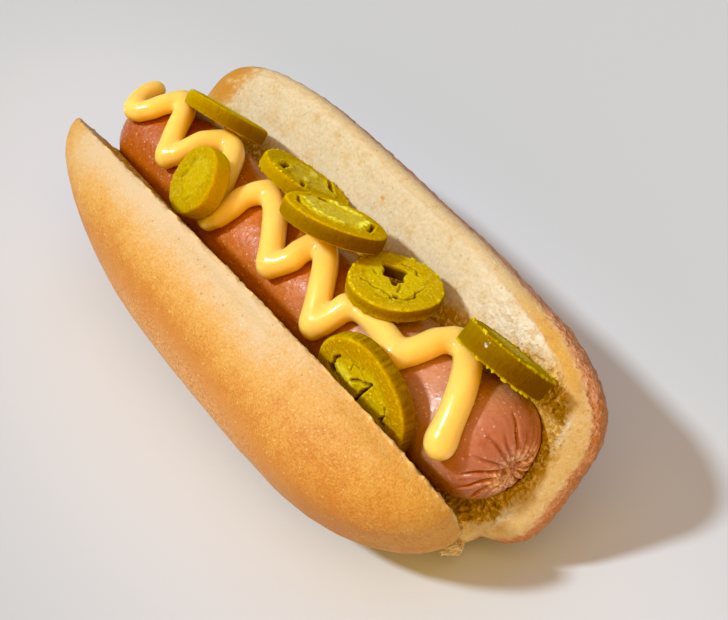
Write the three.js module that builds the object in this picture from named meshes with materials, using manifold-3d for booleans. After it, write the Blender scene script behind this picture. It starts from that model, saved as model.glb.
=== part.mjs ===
// A hot dog: a split bun standing open on its hinge side, a frankfurter lying in the split, one bead of
// mustard zigzagging along its top, and seven slices of pickled green chilli.
// Millimetres. +X along the bun, towards its near end, +Y from the bun's domed top half to its flat
// bottom half, +Z up. The bun rests on a small flat pressed into the hinge side, and the origin is on
// that flat, under the middle of the whole.
import * as THREE from "three";
import { mergeVertices } from "three/addons/utils/BufferGeometryUtils.js";
import Module from "manifold-3d";

const wasm = await Module();
wasm.setup();

// ---- Driving sizes ----
const GAP = 0.3; // air kept between pieces that touch

// Bottom of the cut that opens the bun: the line where both cut faces meet.
const HINGE = { height: 6.8 };

// Each half is a loaf cut off flat. "lean" is the angle of its cut face up from +Y, and "twist" what is
// added to it at the near end and taken off at the far end. "width" is hinge to lip, and "taper" the
// share of it added at the near end. "core" is how deep the fullest section lies under the cut, "rise"
// the crust's height over that section, and "swell" the share of depth added at the near end. "round",
// "plan" and "heel" are superellipse powers: of the section, of the lip side and of the hinge side.
const DOME = {
  side: -1,
  length: 153,
  width: 45.9,
  taper: -0.12,
  lean: 114.3,
  twist: -6.6,
  core: 0.4,
  rise: 26.6,
  swell: 0.16,
  round: 2,
  plan: 2.9,
  heel: 4,
  shift: 0,
  around: 52,
  rings: 11,
};
const BASE = {
  side: 1,
  length: 150.3,
  width: 50.8,
  taper: 0.01,
  lean: 51.6,
  twist: 3.9,
  core: 5.8,
  rise: 10.4,
  swell: 0.04,
  round: 2.7,
  plan: 3.4,
  heel: 4.3,
  shift: 1.4,
  around: 52,
  rings: 9,
};

// The crust left whole along the hinge, which the bun stands on. "deep" is how far below the table its
// round underside would reach: that much is pressed flat. The crumb in the bottom of the cut fills it
// as far as "valley" up each cut face. "round" and "plan" are superellipse powers, as above.
const HEEL = {
  length: 144,
  width: 36,
  height: 14,
  deep: 0.5,
  round: 2.3,
  plan: 2.5,
  middle: { x: 0.9, y: 0.6 },
  slant: 5, // added to y at the near end, taken off at the far end
  valley: 3,
  around: 22,
  rings: 16,
};

const SAUSAGE = {
  length: 150.4,
  radius: 14,
  cap: 12.4,
  middle: { y: 3.9, z: 26.7 }, // the axis at mid length
  slant: { y: 4.1, z: 1.4 }, // added at the near end, taken off at the far end
  bow: { y: 2, z: 1.9 }, // added at both ends
  knot: { y: -1, z: 0.3 }, // how far each end's knot is off the axis
  pit: 1.8, // depth of the dimple at the knot
  blunt: 0.4, // power of the round of each end: a smaller one is blunter
  around: 48,
};
// The pleats that gather at each knot. "fade" and "narrow" are powers: of how a pleat dies away along
// the frankfurter, and of its section. "most" is the largest share of the radius that one takes.
const PLEAT = { count: 12, depth: 1.1, reach: 17, fade: 1.5, narrow: 6, uneven: 0.25, most: 0.45 };

// The bead's way over the frankfurter: millimetres along it, and degrees round from its top.
const MUSTARD = {
  radius: { far: 2.9, near: 3.4 },
  sink: 0.3, // share of the radius that the bead has settled by
  sides: 8,
  step: 3.2,
  pool: 1.14, // the last of each stroke is this much stouter, where the bead turns back
  poolReach: 5,
  capSteps: 2, // rings in each round end
  strokes: [
    [[-71.5, 5], [-69.6, -16], [-66, -30]],
    [[-66, -30], [-62.4, -25], [-61, -8], [-59.8, 12]],
    [[-59.8, 12], [-55.5, 5], [-50.5, -15], [-45.5, -37]],
    [[-45.5, -37], [-42.6, -25], [-42.4, -6], [-39.5, 17]],
    [[-39.5, 17], [-35, 13], [-28.5, -8], [-21.5, -47]],
    [[-21.5, -47], [-18.5, -36], [-18.6, -12], [-16.5, 7]],
    [[-16.5, 7], [-12, 2], [-4.5, -16], [2.2, -39]],
    [[2.2, -39], [5.6, -26], [5, -8], [6.8, 5]],
    [[6.8, 5], [11, -3], [17.2, -24], [22.5, -50]],
    [[22.5, -50], [25.2, -38], [25.2, -26], [27, -15]],
    [[27, -15], [33, -15], [43.5, -24]],
    [[43.5, -24], [45.8, -12], [46.4, 12], [49.6, 23]],
    [[49.6, 23], [54, 12], [61, -17], [65.2, -53]],
  ],
};

// Slices in order from the far end. "face" is the way the shown cut face looks. On it "a" runs level
// and "b" up the slope. A pit is [a, b, half length, half width, depth, degrees its length is turned
// from a].
const SLICES = [
  { at: [-46.4, 10.4, 44.2], face: [-0.175, 0.696, 0.697], radius: 11.3, thick: 4.3, pits: [] },
  {
    at: [-26.5, -8.3, 44.6],
    face: [-0.18, -0.73, 0.659],
    radius: 8.8,
    thick: 5.6,
    pits: [
      [3.7, -1.3, 1.5, 0.8, 0.5, 70],
      [-3.1, -1.5, 1.6, 0.8, 0.5, 110],
    ],
  },
  {
    at: [-14.6, 13.9, 43.2],
    face: [0.01, 0.638, 0.77],
    radius: 12.1,
    thick: 3.9,
    pits: [
      [-4.8, 4, 2, 1.6, 2.6, 40],
      [4.6, 4.2, 1.9, 1.5, 2.6, -30],
      [2.2, -6, 2.2, 1.4, 2.6, 0],
    ],
  },
  {
    at: [8.2, 7.5, 50.7],
    face: [-0.147, 0.517, 0.843],
    radius: 12.5,
    thick: 4.5,
    pits: [
      [-1, 6, 5, 1.5, 1.3, 8],
      [-8.6, -1, 1.5, 3.6, 1.2, 0],
      [1, -6.8, 5, 1.4, 1.3, 4],
      [8.4, -1.8, 1.3, 3, 1.3, 0],
    ],
  },
  {
    at: [28.7, 10.2, 45.5],
    face: [-0.027, 0.196, 0.98],
    radius: 10.9,
    thick: 3.9,
    bore: { at: [-2.4, -2.3], radius: 2.6, points: 5, depth: 0.25 },
    pits: [
      [4.2, 2.4, 1, 2.6, 1.3, -20],
      [4.2, -2.6, 0.9, 2, 1.1, 35],
    ],
  },
  { at: [59.8, 16.2, 47.4], face: [-0.055, 0.755, 0.653], radius: 10.8, thick: 5.8, pits: [] },
  {
    at: [44.6, -8.4, 35.6],
    face: [0.062, -0.985, 0.163],
    radius: 14.6,
    thick: 4.1,
    pits: [
      [8.2, 3.2, 3.4, 2.2, 1.6, 60],
      [-3.1, 6.6, 2, 1.2, 1.8, -40],
      [-8.2, -0.4, 1.4, 2.4, 1.9, 0],
    ],
  },
];
// "uneven" is the share of the radius that the outline's first wave wanders by, and "waves" are the
// waves round the outline, each [how many, its size against the first].
const SLICE = {
  around: 26,
  uneven: 0.022,
  waves: [
    [2, 1],
    [3, 0.6],
    [5, 0.4],
  ],
  bevel: 0.7,
};

const COLORS = { crust: 0xdb9f55, skin: 0xbf7650, mustard: 0xf6bf45, chilli: 0x98870f };

// ---- Helpers ----
const TURN = 2 * Math.PI;
const rad = THREE.MathUtils.degToRad;
const clamp = THREE.MathUtils.clamp;
const spow = (v, e) => Math.sign(v) * Math.abs(v) ** e;

// A repeatable stand-in for chance: a number from -1 to 1 for each whole number.
const chance = (i) => 2 * (Math.abs(Math.sin(i * 12.9898 + 4.1) * 43758.5453) % 1) - 1;

function middleOf(ring) {
  return ring.reduce((sum, point) => sum.add(point), new THREE.Vector3()).divideScalar(ring.length);
}

// Skins a stack of rings of points, all of one length, and closes its ends with a point each.
function skin(rings, start, end) {
  const n = rings[0].length;
  const points = [...rings.flat(), start, end];
  const first = points.length - 2;
  const last = points.length - 1;
  const at = (r, i) => r * n + (i % n);
  const faces = [];
  for (let i = 0; i < n; i++) {
    for (let r = 0; r < rings.length - 1; r++) {
      faces.push(at(r, i), at(r + 1, i), at(r + 1, i + 1));
      faces.push(at(r, i), at(r + 1, i + 1), at(r, i + 1));
    }
    faces.push(first, at(0, i), at(0, i + 1));
    faces.push(last, at(rings.length - 1, i + 1), at(rings.length - 1, i));
  }
  const geometry = new THREE.BufferGeometry().setFromPoints(points);
  geometry.setIndex(faces);
  return geometry;
}

// A Manifold of a closed geometry, turned right side out if its faces point in.
function solid(geometry) {
  const bare = geometry.clone();
  for (const name of Object.keys(bare.attributes)) {
    if (name !== "position") bare.deleteAttribute(name);
  }
  const merged = mergeVertices(bare, 1e-4);
  const vertProperties = new Float32Array(merged.attributes.position.array);
  const triVerts = new Uint32Array(merged.index.array);
  const made = new wasm.Manifold(new wasm.Mesh({ numProp: 3, vertProperties, triVerts }));
  if (made.volume() >= 0) return made;
  const flipped = triVerts.map((_, i) => triVerts[i - (i % 3) + 2 - (i % 3)]);
  return new wasm.Manifold(new wasm.Mesh({ numProp: 3, vertProperties, triVerts: flipped }));
}

function geometryOf(made) {
  const mesh = made.getMesh();
  const position = new Float32Array(mesh.numVert * 3);
  for (let i = 0; i < mesh.numVert; i++) {
    position.set(mesh.vertProperties.subarray(i * mesh.numProp, i * mesh.numProp + 3), i * 3);
  }
  const geometry = new THREE.BufferGeometry();
  geometry.setAttribute("position", new THREE.BufferAttribute(position, 3));
  geometry.setIndex(new THREE.BufferAttribute(new Uint32Array(mesh.triVerts), 1));
  geometry.computeVertexNormals();
  return geometry;
}

const group = new THREE.Group();
function add(name, made, color, roughness) {
  const finish = new THREE.MeshStandardMaterial({ color, roughness, metalness: 0 });
  const mesh = new THREE.Mesh(geometryOf(made), finish);
  mesh.name = name;
  group.add(mesh);
}

// ---- Bun ----
// The point of a half that lies x along, v up its cut face from the hinge and depth under that face.
function onHalf(half, x, v, depth) {
  const u = x / (half.length / 2);
  const lean = rad(half.lean + half.twist * u);
  const up = v * (1 + half.taper * u);
  const out = depth * (1 + half.swell * u) * half.side;
  return new THREE.Vector3(
    x + half.shift,
    Math.cos(lean) * up + Math.sin(lean) * out,
    HINGE.height + Math.sin(lean) * up - Math.cos(lean) * out,
  );
}

function bunHalf(half) {
  const share = (half.core / half.rise) ** half.round;
  const shrink = (1 - share) ** (1 / half.round);
  const low = Math.asin(Math.sqrt(share));
  const rings = [];
  for (let r = 0; r < half.rings; r++) {
    const slope = -low + (Math.PI / 2 + low) * (r / half.rings);
    const reach = Math.cos(slope) ** (2 / half.round) / shrink;
    const depth = half.core + half.rise * spow(Math.sin(slope), 2 / half.round);
    const ring = [];
    for (let i = 0; i < half.around; i++) {
      const turn = (i / half.around) * TURN;
      const power = Math.sin(turn) >= 0 ? half.plan : half.heel;
      const x = (half.length / 2) * spow(Math.cos(turn), 2 / power) * reach;
      const v = (half.width / 2) * (1 + spow(Math.sin(turn), 2 / power) * reach);
      ring.push(onHalf(half, x, v, depth));
    }
    rings.push(ring);
  }
  const middle = half.width / 2;
  return solid(skin(rings, onHalf(half, 0, middle, 0), onHalf(half, 0, middle, half.core + half.rise)));
}

// The middle of the heel, from u = -1 at its far end to 1 at its near end.
function heelAxis(u) {
  const x = HEEL.middle.x + (HEEL.length / 2) * u;
  return new THREE.Vector3(x, HEEL.middle.y + HEEL.slant * u, HEEL.height / 2 - HEEL.deep);
}

// The whole crust under the hinge, a long cushion with a round section and round ends.
function bunHeel() {
  const rings = [];
  for (let r = 1; r < HEEL.rings; r++) {
    const slope = -Math.PI / 2 + (Math.PI * r) / HEEL.rings;
    const reach = Math.cos(slope) ** (2 / HEEL.plan);
    const u = spow(Math.sin(slope), 2 / HEEL.plan);
    const ring = [];
    for (let i = 0; i < HEEL.around; i++) {
      const turn = (i / HEEL.around) * TURN;
      const out = (HEEL.width / 2) * reach * spow(Math.cos(turn), 2 / HEEL.round);
      const up = (HEEL.height / 2) * reach * spow(Math.sin(turn), 2 / HEEL.round);
      ring.push(heelAxis(u).add(new THREE.Vector3(0, out, up)));
    }
    rings.push(ring);
  }
  return solid(skin(rings, heelAxis(-1), heelAxis(1))).subtract(bunOpening());
}

// The open space between the two cut faces, down to the floor of the cut.
function bunOpening() {
  const spans = 8;
  const rings = Array.from({ length: spans + 1 }, (_, i) => {
    const x = HEEL.length * (i / spans - 0.5);
    const at = (half, v) => onHalf(half, x, v, 0).setX(x);
    return [at(DOME, HEEL.valley), at(BASE, HEEL.valley), at(BASE, BASE.width), at(DOME, DOME.width)];
  });
  return solid(skin(rings, middleOf(rings[0]), middleOf(rings[spans])));
}

// What is cut away below the table, wider than the bun is long.
function tableBlock() {
  const size = 2 * DOME.length;
  return solid(new THREE.BoxGeometry(size, size, size).translate(0, 0, -size / 2));
}

// ---- Frankfurter ----
function sausageAxis(x) {
  const u = x / (SAUSAGE.length / 2);
  const { middle, slant, bow } = SAUSAGE;
  const y = middle.y + slant.y * u + bow.y * u * u;
  return new THREE.Vector3(x, y, middle.z + slant.z * u + bow.z * u * u);
}

// Radius of the skin at x: full along the middle, falling to nothing round each blunt end.
function skinRadius(x, grow = 0) {
  const past = (Math.abs(x) - (SAUSAGE.length / 2 - SAUSAGE.cap)) / (SAUSAGE.cap + grow);
  return (SAUSAGE.radius + grow) * Math.max(1 - clamp(past, 0, 1) ** 2, 0) ** SAUSAGE.blunt;
}

// How deep the pleats cut at x and a turn round the axis, as a share of their full depth.
function pleat(x, turn) {
  const fade = clamp(1 - (SAUSAGE.length / 2 - Math.abs(x)) / PLEAT.reach, 0, 1) ** PLEAT.fade;
  const place = (turn / TURN) * PLEAT.count;
  const nearest = Math.round(place) % PLEAT.count;
  const groove = Math.cos((place - Math.round(place)) * Math.PI) ** PLEAT.narrow;
  const ownDepth = 1 - PLEAT.uneven * (0.5 - 0.5 * chance(nearest + Math.sign(x) * PLEAT.count));
  return fade * groove * ownDepth;
}

// Distances from mid length at which the rings of one end lie, tip first and closer together there.
function capStations(straight, tip, count) {
  return Array.from({ length: count - 1 }, (_, i) => {
    const turn = ((i + 1) / count) * (TURN / 4);
    return tip - (tip - straight) * (1 - Math.cos(turn));
  });
}

function frankfurter({ grow = 0, around = SAUSAGE.around, capRings = 8, bodyRings = 14, pleated = true }) {
  const tip = SAUSAGE.length / 2 + grow;
  const straight = SAUSAGE.length / 2 - SAUSAGE.cap;
  const cap = capStations(straight, tip, capRings);
  const body = Array.from({ length: bodyRings + 1 }, (_, i) => straight * (1 - (2 * i) / bodyRings));
  const rings = [...cap, ...body, ...cap.map((x) => -x).reverse()].map((x) => {
    const inCap = clamp((Math.abs(x) - straight) / SAUSAGE.cap, 0, 1) ** 2;
    const axis = sausageAxis(x);
    const reach = skinRadius(x, grow);
    return Array.from({ length: around }, (_, i) => {
      const turn = (i / around) * TURN;
      const cut = pleated ? Math.min(PLEAT.depth * pleat(x, turn), PLEAT.most * reach) : 0;
      return new THREE.Vector3(
        x,
        axis.y + SAUSAGE.knot.y * inCap + (reach - cut) * Math.cos(turn),
        axis.z + SAUSAGE.knot.z * inCap + (reach - cut) * Math.sin(turn),
      );
    });
  });
  const end = (way) => {
    const x = way * (tip - (pleated ? SAUSAGE.pit : 0));
    return sausageAxis(x).add(new THREE.Vector3(0, SAUSAGE.knot.y, SAUSAGE.knot.z));
  };
  return solid(skin(rings, end(1), end(-1)));
}

// ---- Mustard ----
// A point a height over the skin, at x along the frankfurter and an angle round from its top.
function overSkin(x, angle, height) {
  const reach = skinRadius(x) + height;
  return sausageAxis(x).add(new THREE.Vector3(0, Math.sin(angle) * reach, Math.cos(angle) * reach));
}

// A ring of the bead. What would lie inside the skin is pressed out on to it.
function beadRing(centre, along, radius) {
  const up = centre.clone().sub(sausageAxis(centre.x)).setX(0).normalize();
  const side = new THREE.Vector3().crossVectors(along, up).normalize();
  const over = new THREE.Vector3().crossVectors(side, along).normalize();
  return Array.from({ length: MUSTARD.sides }, (_, i) => {
    const turn = ((i + 0.5) / MUSTARD.sides) * TURN;
    const point = centre.clone();
    point.addScaledVector(side, radius * Math.cos(turn)).addScaledVector(over, radius * Math.sin(turn));
    const foot = sausageAxis(point.x);
    const out = point.clone().sub(foot);
    const least = skinRadius(point.x) + GAP;
    return out.length() < least ? foot.addScaledVector(out, least / out.length()) : point;
  });
}

// One stroke of the bead, with round ends.
function stroke(turns) {
  const radiusAt = (x) => {
    const share = x / SAUSAGE.length + 0.5;
    return THREE.MathUtils.lerp(MUSTARD.radius.far, MUSTARD.radius.near, share);
  };
  const route = turns.map(([x, angle]) => overSkin(x, rad(angle), radiusAt(x) * (1 - MUSTARD.sink)));
  const curve = new THREE.CatmullRomCurve3(route, false, "centripetal");
  const steps = Math.round(curve.getLength() / MUSTARD.step);
  const rings = [];
  for (let i = -MUSTARD.capSteps; i <= steps + MUSTARD.capSteps; i++) {
    const s = clamp(i, 0, steps) / steps;
    const centre = curve.getPointAt(s);
    const along = curve.getTangentAt(s);
    const toEnd = (1 - s) * curve.getLength();
    const stout = THREE.MathUtils.lerp(MUSTARD.pool, 1, clamp(toEnd / MUSTARD.poolReach, 0, 1));
    const radius = radiusAt(centre.x) * stout;
    const past = ((i - s * steps) / (MUSTARD.capSteps + 0.4)) * (TURN / 4);
    centre.addScaledVector(along, radius * Math.sin(past));
    rings.push(beadRing(centre, along, radius * Math.cos(past)));
  }
  return solid(skin(rings, middleOf(rings[0]), middleOf(rings[rings.length - 1])));
}

// ---- Chilli slices ----
// A disc with an uneven outline and a full rim. Its shown face has seed pits, and a bore if it has one.
function chilliSlice(slice, grow = 0) {
  const face = new THREE.Vector3(...slice.face).normalize();
  const a = new THREE.Vector3().crossVectors(face, new THREE.Vector3(0, 0, 1)).normalize();
  const b = new THREE.Vector3().crossVectors(face, a).negate();
  const half = slice.thick / 2 + grow;
  const phase = slice.at[0];
  const rimAt = (turn, out) => {
    const bumps = SLICE.waves.reduce((sum, [n, size]) => sum + size * Math.sin(n * turn + phase), 0);
    return (out + grow) * (1 + SLICE.uneven * bumps);
  };
  const rows = [
    [slice.radius - SLICE.bevel, 1],
    [slice.radius, 1 - SLICE.bevel / half],
    [slice.radius, SLICE.bevel / half - 1],
    [slice.radius - SLICE.bevel, -1],
  ];
  const rings = rows.map(([out, level]) =>
    Array.from({ length: SLICE.around }, (_, i) => {
      const turn = (i / SLICE.around) * TURN;
      const rim = rimAt(turn, out);
      return new THREE.Vector3(rim * Math.cos(turn), rim * Math.sin(turn), half * level);
    }),
  );
  const disc = solid(skin(rings, new THREE.Vector3(0, 0, half), new THREE.Vector3(0, 0, -half)));
  const cutters = grow ? [] : slice.pits.map((pit) => seedPit(pit, half));
  if (slice.bore && !grow) cutters.push(starBore(slice.bore, half));
  const cut = cutters.reduce((left, cutter) => left.subtract(cutter), disc);
  const place = new THREE.Matrix4().makeBasis(a, b, face).setPosition(...slice.at);
  return solid(geometryOf(cut).applyMatrix4(place));
}

function seedPit([u, v, long, wide, depth, turn], half) {
  const pit = new THREE.SphereGeometry(1, 9, 6).scale(long, wide, depth);
  return solid(pit.rotateZ(rad(turn)).translate(u, v, half));
}

function starBore(bore, half) {
  const outline = Array.from({ length: 4 * bore.points }, (_, i) => {
    const turn = (i / (4 * bore.points)) * TURN;
    const reach = bore.radius * (1 + bore.depth * Math.cos(bore.points * turn));
    return new THREE.Vector2(bore.at[0] + reach * Math.cos(turn), bore.at[1] + reach * Math.sin(turn));
  });
  const depth = 4 * half;
  const star = new THREE.ExtrudeGeometry(new THREE.Shape(outline), { depth, bevelEnabled: false });
  return solid(star.translate(0, 0, -depth / 2));
}

// ---- Assembly ----
const grownSlices = SLICES.map((slice) => chilliSlice(slice, GAP));
const bed = frankfurter({ grow: GAP, around: 32, capRings: 5, bodyRings: 10, pleated: false });

const bun = [...grownSlices, bed, tableBlock()].reduce(
  (left, taken) => left.subtract(taken),
  bunHalf(DOME).add(bunHalf(BASE)).add(bunHeel()),
);
const mustard = grownSlices.reduce(
  (left, taken) => left.subtract(taken),
  MUSTARD.strokes.map(stroke).reduce((sum, next) => sum.add(next)),
);

add("bun", bun, COLORS.crust, 0.75);
add("sausage", frankfurter({}), COLORS.skin, 0.4);
add("mustard", mustard, COLORS.mustard, 0.25);
SLICES.forEach((slice, i) => add(`jalapeno_${i + 1}`, chilliSlice(slice), COLORS.chilli, 0.3));

// The origin goes under the middle of the whole.
const box = new THREE.Box3().setFromObject(group);
group.position.set(-(box.min.x + box.max.x) / 2, -(box.min.y + box.max.y) / 2, -box.min.z);
group.updateMatrixWorld(true);

export default group;
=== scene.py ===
import math
from collections import namedtuple
from types import SimpleNamespace

import bpy
import numpy as np
from bpy.props import FloatProperty, FloatVectorProperty, PointerProperty
from bpy.types import NodeSocket, Operator, Panel, PropertyGroup
from mathutils import Matrix, Vector, noise
from mathutils.bvhtree import BVHTree


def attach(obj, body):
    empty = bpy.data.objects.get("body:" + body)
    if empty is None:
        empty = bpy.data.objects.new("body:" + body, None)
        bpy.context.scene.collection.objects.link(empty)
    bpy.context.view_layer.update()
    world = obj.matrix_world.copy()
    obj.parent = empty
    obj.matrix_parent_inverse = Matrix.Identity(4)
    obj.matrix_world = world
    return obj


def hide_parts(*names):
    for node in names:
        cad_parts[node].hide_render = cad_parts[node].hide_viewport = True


bl_info = {
    "name": "Hot dog dresser",
    "version": (1, 0, 0),
    "blender": (4, 5, 0),
    "location": "View3D > Sidebar > Hot dog",
    "description": "Bakes, fills and tops a hot dog over its packed solids",
    "category": "Object",
}

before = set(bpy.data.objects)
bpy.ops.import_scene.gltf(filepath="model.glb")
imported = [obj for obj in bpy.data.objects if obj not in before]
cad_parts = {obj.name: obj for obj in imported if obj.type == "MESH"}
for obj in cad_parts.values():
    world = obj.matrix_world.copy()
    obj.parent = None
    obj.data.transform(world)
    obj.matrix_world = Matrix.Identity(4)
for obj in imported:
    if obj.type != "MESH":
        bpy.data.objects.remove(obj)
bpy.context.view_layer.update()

MM = 0.001

# ---- Sizes of the solids, in millimetres and degrees ----
# The bun's halves open about the hinge line. A half leans back from level, and its own twist, taper
# and swell grow from the middle to either end.
HINGE = np.array((-1.4, -2.6035, 6.8))
DOME = dict(side=-1, length=153.0, width=45.9, taper=-0.12, lean=114.3, twist=-6.6, swell=0.16,
            plan=2.9, heel=4.0, shift=0.0)
BASE = dict(side=1, length=150.3, width=50.8, taper=0.01, lean=51.6, twist=3.9, swell=0.04,
            plan=3.4, heel=4.3, shift=1.4)
# The frankfurter's axis: its middle, then what it gains to the near end and the bow of both ends.
SAUSAGE = dict(half=75.2, radius=14.0, cap=12.4, y=(3.9, 4.1, 2.0), z=(26.7, 1.4, 1.9), blunt=0.4,
               knot=(-1.0, 0.3))
# The pleats of a tied end, how far in they reach and how deep they are.
PLEATS, PLEAT_LONG, PLEAT_DEEP = 12, 17, 0.95
# How far from the middle the frankfurter's ends start to have finer faces.
FINE_FROM = 58.0
# Each slice's middle, the way its shown face looks, its radius and its thickness.
Slice = namedtuple("Slice", "middle facing radius thick")
SLICES = {
    "jalapeno_1": Slice((-46.4, 10.4, 44.2), (-0.175, 0.696, 0.697), 11.3, 4.3),
    "jalapeno_2": Slice((-26.5, -8.3, 44.6), (-0.18, -0.73, 0.659), 8.8, 5.6),
    "jalapeno_3": Slice((-14.6, 13.9, 43.2), (0.01, 0.638, 0.77), 12.1, 3.9),
    "jalapeno_4": Slice((8.2, 7.5, 50.7), (-0.147, 0.517, 0.843), 12.5, 4.5),
    "jalapeno_5": Slice((28.7, 10.2, 45.5), (-0.027, 0.196, 0.98), 10.9, 3.9),
    "jalapeno_6": Slice((59.8, 16.2, 47.4), (-0.055, 0.755, 0.653), 10.8, 5.8),
    "jalapeno_7": Slice((44.6, -8.4, 35.6), (0.062, -0.985, 0.163), 14.6, 4.1),
}

# ---- How the bread baked: tables of places along it and the values there ----
# How much fuller or slimmer each half's outside is, by millimetres along the bun.
DOME_GROWS = (
    (-24, -5, 6, 16, 25, 33, 41, 51, 62, 72, 80),
    (0, -1.0, -1.4, -1.4, -1.1, -0.5, 0.4, 1.1, 1.1, 0.5, 0),
)
BASE_GROWS = ((48, 58, 76, 82), (0, 0.8, 0.8, 0))
# The others run from -1 at a half's far end to 1 at its near end. They give, in millimetres, how
# far the dome's edge is drawn up, how far ahead its ends baked, how wide the flat half's lip is
# rolled, how wide and how soft its pale band is, and how far the crumb is stained and given painted
# shade and warm bounce light. BROWNING is how fast the dome browns downwards.
DOME_DRAWN = ((-0.8, -0.3, 0.2, 0.9), (0.0, 0.3, 0.6, 0.9))
ENDS_AHEAD = ((-1.0, -0.85, -0.62, 0.2, 0.4, 0.65, 0.78, 1.1), (15, 11, 2, 0, 7, 10, 11.5, 12))
BROWNING = ((-1.0, -0.6, 0.2, 0.5, 1.0), (0.45, 0.15, 0.15, 0.5, 0.5))
LIP_WIDE = ((-1.0, 0.4, 0.95), (2.6, 2.6, 4.5))
BAND_WIDE = ((-1.0, 0.4, 0.7, 0.95), (4.2, 4.2, 3.5, 2.6))
BAND_SOFT = ((0.4, 0.8), (1.8, 0.7))
STAIN_WIDE = ((-0.8, 0.6, 0.9), (8.0, 8.0, 14.0))
# The torn scrap of crumb at the near end: its middle and its half lengths.
SCRAP = ((69.8, -4.5, 6.5), (2.0, 2.9, 1.1))

# ---- How the frankfurter creased ----
# Creases at a tied end: degrees round where each starts and ends, its length and its depth.
CREASES = (
    (90, 74, 15.5, 0.75), (104, 96, 12.5, 0.35), (112, 112, 15.0, 0.45), (128, 143, 14.5, 0.40),
    (137, 171, 14.5, 0.75), (152, 194, 13.8, 0.85), (164, 220, 12.0, 0.65), (186, 234, 9.0, 0.60),
    (236, 262, 6.5, 0.60), (262, 276, 9.0, 0.45), (288, 300, 8.0, 0.60), (316, 322, 10.0, 0.55),
    (342, 336, 9.0, 0.65), (10, 22, 11.5, 0.60), (26, 40, 12.5, 0.70), (46, 48, 13.5, 0.60),
    (70, 60, 11.0, 0.55),
)
# Half width of a crease and of the dip round it, where its lips swell, and which swell the most.
CREASE_WIDE, DIP_WIDE, SWELL_OFF = 0.34, 1.1, 0.85
FULLEST = (137, 190)
# Each end's side along the axis, and how far its creases are turned round.
TIED_ENDS = ((1, 0.0), (-1, 40.0))
# The lowest and highest that the skin is moved.
SKIN_MOVES = (-1.4, 0.55)
# A darker patch among the creases of the near end: its middle and how far it reaches.
BRUISE = ((69.0, 1.4, 39.7), 1.7)

# ---- How the slices were cut ----
# How light each slice's face is, how pale its skin is, from thinner skin and painted light through
# it, and how light that skin is.
TONES = (
    (1.0, 0.40, 1.0), (0.79, 1.0, 1.45), (1.0, 0.60, 1.0), (1.15, 0.0, 1.0), (0.93, 0.20, 1.05),
    (0.90, 0.0, 0.85), (0.9, 0.20, 1.0),
)
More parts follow.
